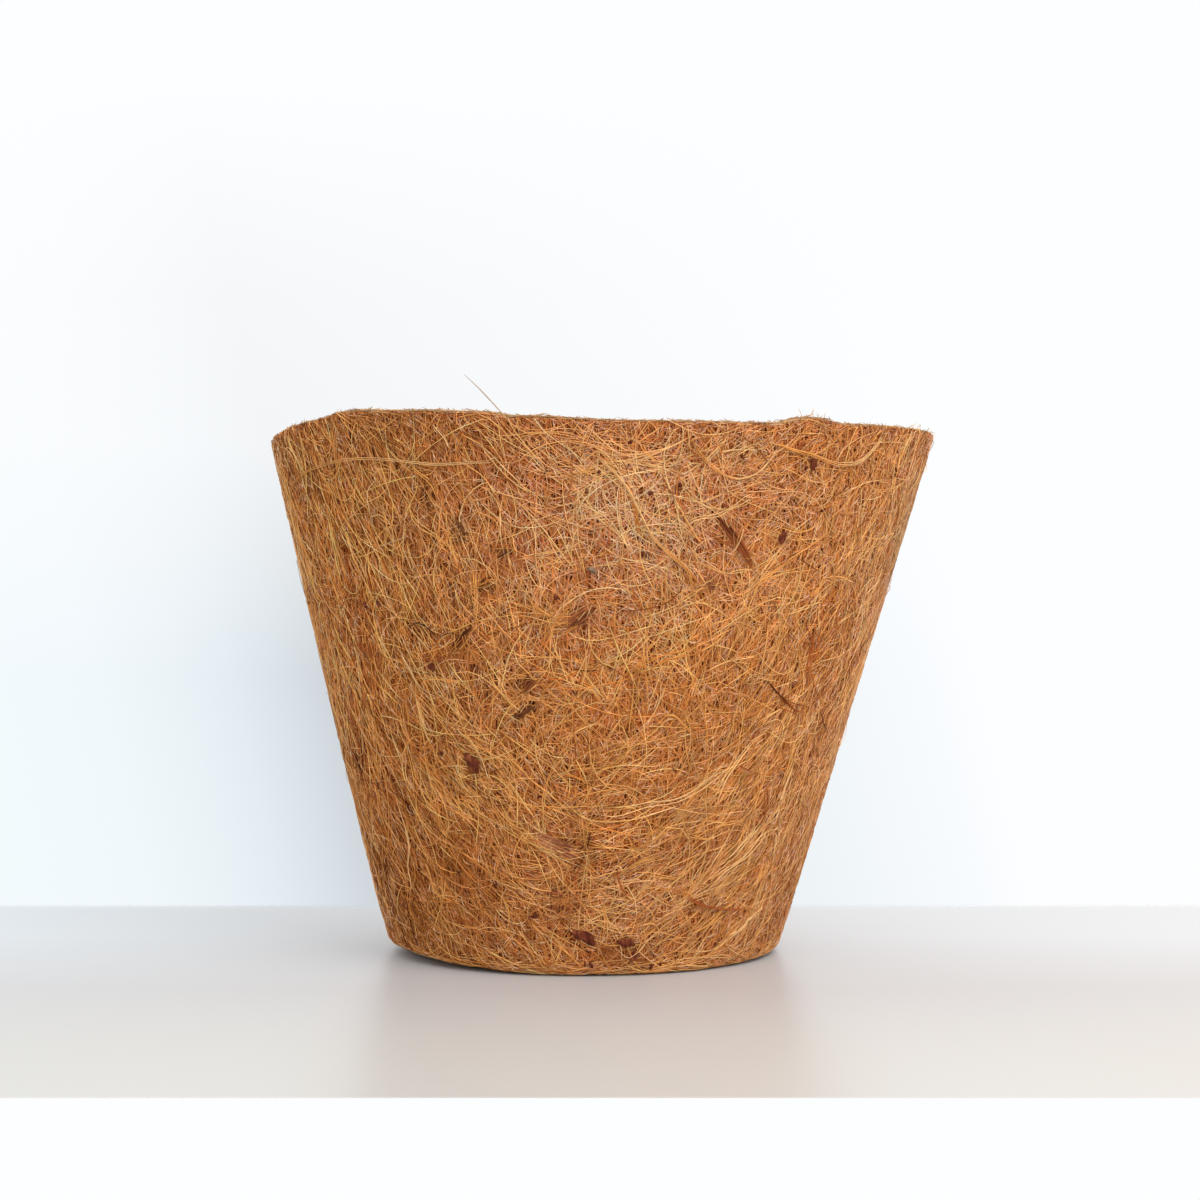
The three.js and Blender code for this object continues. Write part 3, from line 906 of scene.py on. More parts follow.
def strew(name, outline, rng, count, kind, follow):
    """Lays one kind of fibre on a surface and makes its pieces, one for each sector of the pot."""
    fibres, angles, runs, lifts = laid_fibres(outline, rng, count, kind, follow)
    centres = outline.place(angles, runs, lifts)
    normals = outline.normal(angles, runs)
    flat = rng.uniform(*FLATNESS, len(runs))
    # Painted shade: the deeper a fibre lies, the darker and redder its colour, more so on the pot's left
    # and less on the pale ground
    height = np.clip((lifts - DEEPEST) / (TOPMOST - DEEPEST), 0.0, 1.0)[..., None]
    shade, tone = np.array(DEEP_PAINTED_SHADE), tone_at(centres)
    if follow:
        heights = np.interp(runs, outline.runs, outline.heights)
        left = np.clip(-np.sin(np.radians(angles - LEFT_FROM)), 0.0, 1.0)[..., None]
        pale = nearness(angles, heights, *PALE_GROUND)[..., None]
        shade = shade * np.array(LEFT_PAINTED_SHADE) ** left * np.array(PALE_SHADE) ** pale
        # Painted light and shade on the pot's left: its lighter fibres are made lighter and its darker ones
        # darker
        light = fibres["tint"].mean(1)[:, None, None] / fibres["tint"].mean()
        tone = tone_at(centres, angles, heights) * light ** (LEFT_PAINTED_CONTRAST * left)
    colours = fibres["tint"][:, None, :] * shade ** (1.0 - height**DEPTH_CURVE) * tone
    colours = np.minimum(colours, LIGHTEST)
    order = np.argsort(turned(angles[:, 0]))
    sectors = math.ceil(len(order) * kind.triangles() / PIECE_TRIANGLES)
    for number, chosen in enumerate(np.array_split(order, sectors)):
        fibre_piece(
            f"{name}_{number + 1}", centres[chosen], normals[chosen], fibres["width"][chosen],
            colours[chosen], flat[chosen])


def scattered(rng, outline, count, stops, reach, length, bend, by_area=False):
    """The angles and runs, stop by stop, of short fibres that lie anyhow on a surface."""
    angle = rng.uniform(-180, 180, count)
    run = rng.uniform(*reach, count)
    fibres = {
        "angle": angle, "run": outline.run_at(run) if by_area else run,
        "heading": rng.uniform(0, 2 * math.pi, count), "length": rng.uniform(*length, count),
        "bend": rng.normal(0, bend, count),
    }
    return walked(outline, fibres, rng.normal(0, 1, (stops - 1, count)), False, stops)


RIM_ENDS = 5200
RIM_END_LENGTH = (1.2, 5.0)
RIM_END_BEND = 0.1
RIM_END_WIDTH = (0.12, 0.24)
RIM_END_LIFT = (-0.3, 0.15)
RIM_GREY = (160, 126, 102)  # a grey mixed half into the cut ends' tint, as it shows
STANDING = 0.12  # the share of them that stand up
STANDING_HEIGHT = (0.2, 0.7)


def rim_fibres(rng):
    """Cut ends of fibres across the rim's face, a few of them standing up."""
    count, stops = RIM_ENDS, 5
    reach = (0.1, RIM_FACE.length - 0.1)
    angles, runs = scattered(rng, RIM_FACE, count, stops, reach, RIM_END_LENGTH, RIM_END_BEND)
    runs = np.clip(runs, 0.0, RIM_FACE.length)
    stands = rng.uniform(0, 1, count) < STANDING
    standing = np.where(stands, rng.uniform(*STANDING_HEIGHT, count), 0.0)[:, None]
    lifts = rng.uniform(*RIM_END_LIFT, (count, 1)) + standing * np.linspace(0, 1, stops) ** 2
    colours = 0.5 * tinted(rng, count, 0.8) + 0.5 * linear(*RIM_GREY)
    widths = rng.uniform(*RIM_END_WIDTH, count)
    fibre_piece(
        "rim_cut_fibres", RIM_FACE.place(angles, runs, lifts), RIM_FACE.normal(angles, runs),
        widths, colours)


# Clumps of hair along the rim: angle, how far they reach round in degrees, how many, longest
RIM_HAIRS = [
    (0, 180, 420, 0.7), (37, 3, 26, 1.9), (80, 9, 24, 1.9), (91, 4, 60, 1.8), (66, 4, 7, 2.4),
    (-37, 3, 5, 2.2), (-58, 4, 5, 1.6), (-86, 5, 10, 1.4),
]
HAIR_WIDTH = (0.09, 0.16)
HAIR_LENGTH = (0.3, 1.0)  # by the longest
HAIR_OUT, HAIR_ASIDE, HAIR_UP = (0.0, 0.9), 0.7, (0.1, 1.0)  # which way they point
HAIR_DROOP = 0.35


def rim_hairs(rng):
    """Hairs that stand up from the rim's outer edge."""
    stops = 6
    share = np.linspace(0, 1, stops)[None, :, None]
    hairs = []
    for middle, reach, count, longest in RIM_HAIRS:
        angle = middle + rng.uniform(-reach, reach, count)
        run = RIM_FACE.length * rng.uniform(0, 0.8, count) ** 2
        root = RIM_FACE.place(angle, run, -0.2)[:, None, :]
        turn, level = np.radians(angle), np.zeros(count)
        out = np.stack([np.sin(turn), -np.cos(turn), level], -1)
        sideways = np.stack([np.cos(turn), np.sin(turn), level], -1)
        way = out * rng.uniform(*HAIR_OUT, (count, 1))
        way = way + sideways * rng.normal(0, HAIR_ASIDE, (count, 1))
        way[:, 2] += rng.uniform(*HAIR_UP, count)
        way /= np.linalg.norm(way, axis=1, keepdims=True)
        droop = rng.normal(0, HAIR_DROOP, (count, 3))
        length = longest * rng.uniform(*HAIR_LENGTH, (count, 1, 1))
        centres = root + length * (way[:, None, :] * share + droop[:, None, :] * share**2)
        normals = np.repeat(out[:, None, :], stops, axis=1)
        hairs.append((centres, normals, tinted(rng, count, 0.9)))
    centres, normals, colours = (np.concatenate(values) for values in zip(*hairs))
    fibre_piece("rim_hairs", centres, normals, rng.uniform(*HAIR_WIDTH, len(centres)), colours)


LOOSE_HAIRS = 300
LOOSE_REACH = (0.3, 0.97)  # the shares of the outside's surface between which they start
LOOSE_LENGTH = (4.0, 14.0)
LOOSE_BEND = 0.14
LOOSE_LIFT = (0.25, 0.8)
LOOSE_WIDTH = (0.1, 0.18)
LOOSE_FROM = 12.0  # the run where the foot's edge begins


def loose_hairs(rng):
    """Thin hairs that stand a little off the wall."""
    count, stops = LOOSE_HAIRS, 8
    angles, runs = scattered(
        rng, OUTSIDE, count, stops, LOOSE_REACH, LOOSE_LENGTH, LOOSE_BEND, by_area=True)
    runs = np.clip(runs, LOOSE_FROM, OUTSIDE.length)
    lifts = np.sin(np.linspace(0, math.pi, stops)) * rng.uniform(*LOOSE_LIFT, (count, 1))
    widths = rng.uniform(*LOOSE_WIDTH, count)
    fibre_piece(
        "loose_hairs", OUTSIDE.place(angles, runs, lifts), OUTSIDE.normal(angles, runs),
        widths, tinted(rng, count, 1.05))


def through(stops, share):
    """Places on a smooth line through the given ones, at shares of the way along it."""
    stops = np.array(stops, float)
    ends = np.concatenate([[2 * stops[0] - stops[1]], stops, [2 * stops[-1] - stops[-2]]])
    at = share * (len(stops) - 1)
    leg = np.minimum(at.astype(int), len(stops) - 2)
    t = (at - leg)[..., None]
    a, b, c, d = (ends[leg + shift] for shift in range(4))
    return 0.5 * (2 * b + (c - a) * t + (2 * a - 5 * b + 4 * c - d) * t**2 + (3 * b - a - 3 * c + d) * t**3)


# How far a fibre of a bundle is from its line, and how far it weaves, by the bundle's spread
ASIDE, WEAVE_ASIDE = 1.2, 0.4
DIP, DIP_FROM = 0.4, 0.8  # how deep a strand's ends dip where no lift is given, and from where
MEMBER_WIDTH = (0.75, 1.15)  # the width of a bundle's fibres, by the one that is given
MEMBER_LIFT = (-0.7, 0.5)  # and how much higher or lower they lie
MEMBER_WAVES = (1, 4)  # how often they weave, in radians for half the line


def end_dip(share, depth, start):
    """How deep a strand dips: not at all up to the start, and most at its ends, -1 and 1."""
    return depth * np.clip(np.abs(share) - start, 0, 1) / (1 - start)


def bundle(rng, stops, members, spread, width, lift=0.02, fray=0.5, count=MEND_STOPS, uneven=0.0):
    """Fibres that run together along a line of (angle, height) or (angle, height, lift) stops.

    Each may begin late and end early, by up to the uneven share of the line.
    """
    starts, ends = uneven * rng.uniform(0, 1, (2, members, 1))
    line = through(stops, starts + (1 - ends - starts) * np.linspace(0, 1, count))
    angles, heights, *lifted = np.moveaxis(line, -1, 0)
    scale = math.radians(1) * wall_radius(heights)
    across = np.gradient(angles, axis=1) * scale
    up = np.gradient(heights, axis=1)
    size = np.maximum(np.hypot(across, up), 1e-6)
    share = np.linspace(-1, 1, count)
    aside = rng.normal(0, ASIDE * spread, (members, 1)) * (1 + fray * share**2)
    waves = rng.uniform(*MEMBER_WAVES, (members, 1)) * share + rng.uniform(0, 6, (members, 1))
    aside = aside + WEAVE_ASIDE * spread * np.sin(waves)
    if members == 1:
        aside = aside * 0
    lifts = rng.uniform(*MEMBER_LIFT, (members, 1)) * width
    if lifted:
        lifts = lifts + lifted[0]
    else:
        lifts = lifts + lift - end_dip(share, DIP, DIP_FROM)
    widths = width * rng.uniform(*MEMBER_WIDTH, members)
    angles = angles - aside * up / size / scale
    heights = heights + aside * across / size
    normals = OUTSIDE.normal(angles, run_of_height(heights))
    return pot_over_wall(angles, heights, lifts), normals, widths


def pot_over_wall(angle, height, lift):
    """Points at a lift over the wall's outer face."""
    radius = wall_radius(height) + lift * math.cos(WALL_SLOPE)
    return pot_point(angle, radius, height - lift * math.sin(WALL_SLOPE))


def tone_colours(rng, tone, members, spread=0.14):
    return linear(*TONES[tone]) * np.clip(rng.normal(0.96, spread, (members, 1)), 0.6, 1.3)


class Strands:
    """Fibres laid along given lines, bundle after bundle, and then made one piece."""

    FLAT = 0.8

    def __init__(self, rng):
        self.rng = rng
        self.laid = []

    def lay(self, tone, stops, members, spread, width, **how):
        fibres = bundle(self.rng, stops, members, spread, width, **how)
        self.laid.append((*fibres, tone_colours(self.rng, tone, members)))

    def make(self, name):
        joined = (np.concatenate(values) for values in zip(*self.laid))
        fibre_piece(name, *joined, flat=self.FLAT)


STRAND_WIDTH = 0.82  # of the width that is given below
STRAND_TONES = 0.07  # how unlike each other the fibres of a strand are
STRAND_FRAY = 0.2  # how much further apart they are at the ends

# The solids' strands: stops of angle, height and lift, fibres, spread, width and tone
SOLID_STRANDS = {
    "stray_fibre": ([
        (-10.6, 113.6, 0.1), (-12, 114, 0.35), (-13.2, 114.8, 0.45), (-14.6, 116.2, 0.6),
        (-16.2, 118.4, 0.8), (-18.5, 121.2, 1.1), (-21.2, 124.6, 1.5),
    ], 1, 0.0, 0.34, "golden ash"),
    "strand_arc_left": ([
        (-71, 104.6, 0.3), (-61, 107.2, 0.5), (-54, 108, 0.55), (-46, 108.1, 0.55), (-38, 108.1, 0.55),
        (-29, 107.1, 0.5), (-24, 107.4, 0.4), (-18, 107.9, 0.2),
    ], 3, 0.16, 0.28, "golden pale"),
    "strand_arc_right": ([
        (14, 113.5, 0.2), (16, 110, 0.4), (20, 106.5, 0.5), (23.5, 105.8, 0.5), (26.5, 107.5, 0.4),
        (29, 111.5, 0.2),
    ], 3, 0.24, 0.26, "golden pale"),
    "strand_arc_far_right": ([
        (29, 113, 0.2), (34, 110.5, 0.4), (40.5, 109, 0.45), (44, 109, 0.5), (48, 110, 0.45),
        (52.5, 115, 0.2),
    ], 3, 0.35, 0.26, "golden pale"),
    "strand_bundle_middle": ([
        (-1, 110, 0.2), (3.5, 104.5, 0.45), (6.5, 98, 0.5), (9, 93, 0.5), (13, 89, 0.5), (16, 86, 0.4),
        (18, 79.5, 0.1),
    ], 3, 0.5, 0.3, "pale golden"),
    "strand_foot_orange": ([
        (26, 17, 0.3), (32, 14.8, 0.5), (38, 13.8, 0.5), (46, 13.2, 0.3),
    ], 4, 0.22, 0.25, "russet"),
    "strand_dark_left": ([
        (-38, 74, 0.2), (-35.5, 75, 0.4), (-33, 74, 0.4), (-31, 71.5, 0.2),
    ], 2, 0.12, 0.24, "dark"),
    "strand_dark_right": ([
        (37, 63, 0.2), (41, 60, 0.4), (46, 57, 0.4), (50, 56, 0.2),
    ], 3, 0.14, 0.26, "dark russet"),
}


def build_solid_strands(rng):
    for name, (stops, members, spread, width, tone) in SOLID_STRANDS.items():
        fibres = bundle(rng, stops, members, spread, STRAND_WIDTH * width, fray=STRAND_FRAY)
        start, end = (
            tone_colours(rng, word, members, STRAND_TONES)[:, None, :] for word in (tone.split() * 2)[:2])
        share = smoothstep(np.linspace(-0.3, 1.3, MEND_STOPS))[None, :, None]
        fibre_piece(
            name + "_fibres", *fibres, start * (1 - share) + end * share, slot=slot_of(name), node=name)


# Fibres that stand out in the felt, by tone: number side by side, and stops of angle and height
PLACED = {
    "pale": [
        (2, [(30, 35), (31, 41), (33, 45), (37, 50), (42, 51)]),
        (3, [(0, 36), (6, 35), (13, 37), (20, 38), (26, 41), (31, 45), (35, 49)]),
        (3, [(-42, 70), (-40, 66), (-38, 62), (-37, 59)]), (2, [(17, 111), (19, 113), (20, 114)]),
        (4, [(18, 109.5), (21, 110.5), (24, 112.5), (26, 113)]),
        (2, [(14, 95), (16, 97), (20, 98), (23, 100), (26, 101)]), (3, [(19, 88), (21, 90), (24, 90)]),
        (4, [(-42, 63), (-39, 60), (-38, 56), (-37, 52), (-35, 49)]),
        (4, [(31, 17), (35, 21), (39, 23), (43, 25), (47, 29), (49, 32)]),
        (4, [(34, 22), (39, 26), (43, 30), (47, 34)]),
        (3, [(52, 30), (50, 34), (50, 38), (51, 43), (52, 49)]),
        (3, [(53, 22), (53, 26), (52, 30), (51, 34)]), (2, [(53, 52), (55, 54), (57, 56)]),
        (3, [(46, 8), (48, 10), (53, 12), (55, 14)]), (2, [(10, 34), (14, 35), (18, 36), (23, 37)]),
        (3, [(39, 6), (43, 7), (48, 9), (50, 11)]), (2, [(-28, 115), (-26, 112), (-25, 109)]),
        (1, [(-11, 96), (-9, 94), (-8, 91), (-6, 87)]), (1, [(-9, 108), (-6, 110), (-4, 112)]),
        (1, [(-73, 26), (-68, 28), (-60, 28), (-56, 27)]),
        (2, [(-51, 40), (-49, 34), (-48, 30), (-48, 26), (-50, 22), (-50, 18), (-53, 14)]),
        (2, [(-33, 57), (-31, 55), (-29, 52), (-26, 50), (-24, 46), (-23, 42), (-21, 39)]),
        (1, [(-51, 92), (-50, 90), (-48, 87), (-47, 84)]), (1, [(-37, 91), (-36, 88), (-35, 85)]),
        (2, [(46, 81), (45, 78), (45, 74)]),
    ],
    "golden": [
        (2, [(4, 87), (7, 83), (9, 79), (10, 76), (9, 72), (9, 67), (8, 64)]),
        (3, [(9, 68), (8, 64), (8, 58), (8, 52), (10, 47)]),
        (2, [(10, 53), (12, 55), (16, 56), (19, 54), (22, 51), (25, 48)]),
        (2, [(0, 38), (0, 43), (2, 45), (5, 46), (8, 49), (8, 51)]),
        (2, [(-32, 61), (-30, 55), (-27, 51), (-23, 49), (-15, 48)]),
        (3, [(-23, 50), (-16, 45), (-13, 42), (-9, 39), (-6, 36)]),
        (2, [(21, 81), (19, 77), (18, 73), (17, 69)]), (2, [(-16, 95), (-15, 91), (-14, 88)]),
        (1, [(-22, 98), (-18, 96), (-17, 93)]), (2, [(6, 114), (6, 112), (8, 109), (10, 108)]),
        (3, [(25, 114), (29, 113), (33, 111), (37, 110)]),
        (2, [(30, 96), (33, 95), (37, 94), (40, 95), (41, 98)]),
        (2, [(54, 96), (60, 94), (67, 95), (70, 97)]), (4, [(-1, 113), (1, 110), (3, 106), (4, 102)]),
        (2, [(10, 77), (12, 79), (15, 81), (18, 83), (21, 84)]),
        (4, [(-40, 62), (-36, 59), (-33, 56), (-30, 52), (-27, 49)]),
        (3, [(-23, 42), (-21, 38), (-19, 34), (-15, 32), (-11, 31), (-7, 29)]),
        (2, [(-14, 40), (-11, 37), (-8, 35), (-3, 34)]),
        (2, [(-41, 43), (-40, 38), (-37, 35), (-36, 32)]),
        (4, [(-32, 40), (-28, 36), (-25, 34), (-21, 30)]),
        (4, [(-22, 24), (-16, 24), (-11, 24), (-7, 24)]),
        (2, [(-25, 19), (-21, 16), (-20, 12), (-22, 7)]), (2, [(-4, 18), (-2, 19), (1, 18), (2, 15)]),
        (3, [(10, 22), (15, 22), (20, 21), (26, 20)]), (4, [(29, 8), (34, 10), (38, 13), (42, 15)]),
        (3, [(53, 52), (50, 48), (50, 44), (49, 39)]), (4, [(7, 20), (10, 23), (14, 25), (19, 26)]),
        (3, [(50, 25), (49, 20), (47, 16)]), (2, [(24, 32), (25, 31), (29, 30), (31, 31), (32, 33)]),
        (1, [(46, 19), (46, 23), (48, 25), (50, 27), (57, 26)]),
        (3, [(-43, 106), (-42, 103), (-41, 99), (-40, 95), (-41, 91), (-42, 87), (-44, 81)]),
        (2, [(-36, 110), (-32, 106), (-29, 103), (-28, 100)]),
        (3, [(-7, 102), (-5, 105), (-2, 106), (2, 107)]),
        (2, [(-22, 88), (-22, 84), (-22, 81), (-22, 78), (-23, 74)]),
        (3, [(-45, 27), (-42, 23), (-41, 18), (-39, 16), (-40, 11), (-40, 6), (-39, 3)]),
        (1, [(-49, 109), (-49, 106), (-50, 102)]),
        (3, [(24, 82), (27, 81), (31, 84), (35, 87), (39, 90), (42, 92)]),
    ],
    "amber": [
        (4, [(2, 87), (-3, 81), (-6, 77), (-8, 74), (-10, 69), (-11, 65)]),
        (6, [(22, 72), (19, 70), (16, 69), (13, 68), (10, 66), (8, 64), (7, 62)]),
        (3, [(20, 60), (23, 59), (27, 57), (32, 55), (35, 52)]),
        (2, [(-8, 41), (-7, 43), (-5, 44), (-2, 43), (-1, 42), (-1, 39)]),
        (3, [(8, 92), (7, 95), (6, 99), (5, 103), (4, 106)]), (2, [(37, 87), (41, 85), (46, 83)]),
        (2, [(-39, 45), (-35, 43), (-29, 44)]),
        (3, [(13, 18), (19, 19), (25, 18), (30, 15), (36, 15), (42, 13)]),
        (3, [(15, 58), (18, 56), (22, 51), (24, 47)]),
        (2, [(27, 58), (31, 55), (34, 53), (37, 49), (42, 44)]),
        (3, [(-6, 105), (-8, 102), (-9, 101), (-11, 98)]),
        (3, [(-45, 28), (-40, 29), (-35, 27), (-31, 26),
             (-27, 24), (-23, 22), (-20, 21), (-15, 20), (-9, 19)]),
        (2, [(-52, 15), (-46, 15), (-39, 15), (-34, 15), (-31, 14), (-29, 12)]),
        (2, [(-29, 54), (-25, 51), (-22, 49), (-18, 48)]),
        (3, [(7, 96), (10, 92), (14, 88), (17, 85), (20, 82), (23, 79), (26, 77)]),
    ],
    "russet": [
        (2, [(-37, 69), (-34, 68), (-30, 68), (-27, 69), (-24, 71)]),
        (3, [(-60, 69), (-54, 70), (-51, 69), (-46, 68)]), (4, [(39, 60), (43, 58), (48, 57), (53, 56)]),
        (4, [(-49, 68), (-53, 63), (-56, 58), (-60, 54), (-62, 52)]),
        (3, [(50, 71), (49, 69), (48, 65), (53, 60), (58, 56)]),
        (4, [(1, 33), (1, 29), (-1, 25), (-3, 22), (-3, 19), (-5, 17)]),
        (3, [(6.6, 24.6), (7.1, 21.4), (8.7, 18.1), (11.7, 15.1)]),
        (2, [(16.8, 95.6), (19.4, 93.4), (22.4, 91.9), (24.8, 91.3)]),
        (2, [(13, 113), (15, 111), (17, 108), (19, 107)]),
        (3, [(43, 80), (45, 75), (48, 71), (48, 66), (52, 62)]),
    ],
    "olive": [
        (2, [(-22.8, 82.7), (-23.9, 80.6), (-24.1, 78.8), (-24.7, 76.7)]),
    ],
    "dark": [
        (1, [(-31, 72), (-28, 73), (-26, 72)]), (3, [(-24, 95), (-24, 93), (-23, 92)]),
        (3, [(-67, 48), (-65, 44), (-64, 41)]), (1, [(57, 56), (60, 53), (64, 51)]),
        (3, [(-62, 52), (-63, 44), (-66, 41)]),
        (2, [(1, 33), (0.6, 30.7), (0, 28.4), (-1.4, 25.1), (-3.1, 23.5), (-3.3, 21.4), (-2.7, 19.6)]),
        (1, [(-3.8, 66), (-1.7, 65.5), (0.7, 65.7)]),
    ],
}
PLACED_WIDTH = 0.25
PLACED_LIFT = 0.1
PLACED_SPREAD = 0.12  # for each fibre of the number
PLACED_UNEVEN = 0.4  # the share of the line by which one of several begins late or ends early

# Fibres that lie over a husk, by tone: stops of angle, height and lift
OVER_HUSKS = {
    "pale": [
        [(-14, 30.2, 0.1), (-10.1, 27.5, 0.2), (-6.6, 26, 0.25), (-3.1, 24.6, 0.2), (0.7, 23.2, 0.1)],
        [(-5, 11.6, 0.1), (-3, 10.0, 0.35), (-1.6, 8.9, 0.45), (0.1, 7.6, 0.45), (2.3, 6.6, 0.2),
         (4, 6.2, 0.0)],
        [(8, 9.6, 0.0), (9.3, 7.5, 0.35), (10.2, 5.2, 0.3), (10.4, 3, 0.1)],
        [(8.5, 6.2, 0.1), (11.6, 4.3, 0.4), (13.3, 4.7, 0.5), (15.4, 6, 0.3), (17, 8, 0.1)],
        [(14.5, 95.6, 0.2), (17, 97.2, 0.4), (20.3, 98.6, 0.45), (24, 100.4, 0.3), (27, 102.2, 0.1)],
    ],
    "golden": [
        [(1.5, 8.4, 0.1), (3.9, 7.9, 0.3), (6.8, 6.9, 0.4), (9.8, 7.1, 0.45), (12.6, 7.3, 0.4),
         (16, 6.3, 0.1)],
        [(11, 7.5, 0.2), (12.4, 5.2, 0.45), (13.8, 3.2, 0.4), (16, 1.6, 0.1)],
        [(10, 2.2, 0.2), (12.5, 3.9, 0.45), (14.6, 6.2, 0.4), (15.4, 9, 0.1)],
        [(-28.5, 49, 0.1), (-26.6, 46.6, 0.3), (-25.2, 44.4, 0.35), (-24, 41.5, 0.1)],
        [(31, 95.6, 0.1), (33.2, 93.6, 0.35), (35.6, 92.4, 0.2)],
    ],
}

OVER_HUSK_WIDTH = 0.2

# A spot where fibres fan out: its place, how far they reach, and the bearing, spread and number of
# the fibres of each fan
STAR = (-8, 76.5)
STAR_REACH = (2.5, 7.0)
STAR_FANS = [(140, 18, 8), (195, 16, 6), (250, 12, 4), (330, 25, 4), (40, 20, 3)]
STAR_WIDTH = 0.17


def build_placed(rng):
    strands = Strands(rng)
    for tone, lines in PLACED.items():
        for members, stops in lines:
            strands.lay(
                tone, stops, members, PLACED_SPREAD * members, PLACED_WIDTH, lift=PLACED_LIFT,
                uneven=PLACED_UNEVEN if members > 1 else 0.0)
    for tone, lines in OVER_HUSKS.items():
        for stops in lines:
            strands.lay(tone, stops, 1, 0.0, OVER_HUSK_WIDTH)
    for bearing, fan, members in STAR_FANS:
        for turn in np.radians(rng.normal(bearing, fan, members)):
            reach = rng.uniform(*STAR_REACH)
            tip = np.stack(moved(*STAR, reach, 0.0, turn))
            middle = (STAR + tip) / 2 + [rng.normal(0, 0.3), rng.normal(0, 0.3)]
            strands.lay("golden", [STAR, middle, tip], 1, 0.0, STAR_WIDTH, lift=0.08)
    strands.make("marked_fibres")


def moved(angle, height, along, across, tilt):
    """A place of the wall, so far along a tilted line from another and so far across it."""
    round_way = along * np.cos(tilt) - across * np.sin(tilt)
    up_way = along * np.sin(tilt) + across * np.cos(tilt)
    return angle + np.degrees(round_way / wall_radius(height)), height + up_way


CRUMBS = 150
CRUMB_LAYERS = [(0.0, 1.0), (0.3, 0.8)]  # how high each is, and its size by the lowest's
CRUMB_SIDES = 6
CRUMB_SIZE = (0.2, 0.48)
CRUMB_STRETCH = (1.0, 2.6)  # their length by their width
CRUMB_LIFT = (-0.4, -0.12)
CRUMB_UNEVEN = (0.7, 1.2)  # how far a corner is from the middle, by the size
# Crumbs that can be seen in front: angle and height
SPECKS = [
    (18.3, 5.3), (19, 1.8), (21.6, 2.4), (0.5, 2.8), (2.2, 2.6), (35.8, 107), (38.5, 106.3),
    (27, 103.5), (-40.4, 109.9), (-28.4, 110.1), (-67.6, 95.9), (-68, 98), (-17.5, 89.1), (-9.1, 106),
    (8.1, 102.3), (12.9, 104.1), (21, 84.8), (60.6, 108.2), (61, 107), (55.3, 105.1), (69, 95),
    (69.5, 93.6), (44.1, 87.3), (49, 70.4), (-40, 48.5), (-33.7, 47.6), (-23, 26.1), (-5.6, 15.1),
    (-32.8, 22), (-43.2, 13.6), (-50.4, 14.9), (-17, 62.4), (-8.3, 18), (41.5, 99), (23.1, 110),
    (20.4, 6.1), (-66, 104), (-33, 108.5),
]


def husk_crumbs(rng):
    """Small flat bits of husk pressed in among the fibres, all round the outside."""
    angle = rng.uniform(-180, 180, CRUMBS)
    height = rng.uniform(3.0, POT_HEIGHT - 2.0, CRUMBS)
    angle[:len(SPECKS)], height[:len(SPECKS)] = np.array(SPECKS).T
    size = rng.uniform(*CRUMB_SIZE, CRUMBS)
    stretch = rng.uniform(*CRUMB_STRETCH, CRUMBS)
    turn = rng.uniform(0, math.pi, CRUMBS)
    lift = rng.uniform(*CRUMB_LIFT, CRUMBS)
    points = []
    for level, grow in CRUMB_LAYERS:
        for bearing in np.arange(CRUMB_SIDES) * 2 * math.pi / CRUMB_SIDES:
            reach = size * grow * rng.uniform(*CRUMB_UNEVEN, CRUMBS)
            along, across = reach * stretch * math.cos(bearing), reach * math.sin(bearing)
            points.append(pot_over_wall(*moved(angle, height, along, across, turn), lift + level))
    faces = []
    for i in range(CRUMB_SIDES):
        j = (i + 1) % CRUMB_SIDES
        faces += [[i, j, j + CRUMB_SIDES], [i, j + CRUMB_SIDES, i + CRUMB_SIDES]]
    for i in range(1, CRUMB_SIDES - 1):
        faces += [[0, i + 1, i], [CRUMB_SIDES, CRUMB_SIDES + i, CRUMB_SIDES + i + 1]]
    first = np.arange(CRUMBS)[:, None, None] * len(points)
    piece = new_mesh("husk_crumbs", np.stack(points, 1), first + np.array(faces), 3, DARK_HUSK)
    belongs(piece)


def build_pot():
    rng = np.random.default_rng(SEED)
    felt_wall()
    felt_disc()
    for name, outline, count, kind, follow in STREWN:
        strew(name, outline, rng, count, kind, follow)
    for build in (rim_fibres, rim_hairs, loose_hairs, build_placed, build_solid_strands, husk_crumbs):
        build(rng)


# The pieces of husk: the solids' own shapes, made finer and grained

HUSKS = {
    "husk_seed_upper": DARK_HUSK, "husk_seed_foot": DARK_HUSK, "husk_flake_foot": DARK_HUSK,
    "husk_flake_foot_low": DARK_HUSK, "husk_knot_left": DARK_HUSK, "grey_chip": GREY_HUSK,
    "husk_chip_right": DARK_HUSK, "husk_chip_rim": DARK_HUSK,
}
HUSK_TOP = 0.3  # how far a husk's outer face stands over the felt
# Its grooves and its dents: how narrow along, across and through, how far apart, a seed, how deep
GRAIN = [((0.25, 1.0, 1.0), 0.45, 11, 0.09), ((1.0, 1.0, 1.0), 1.1, 12, 0.12)]

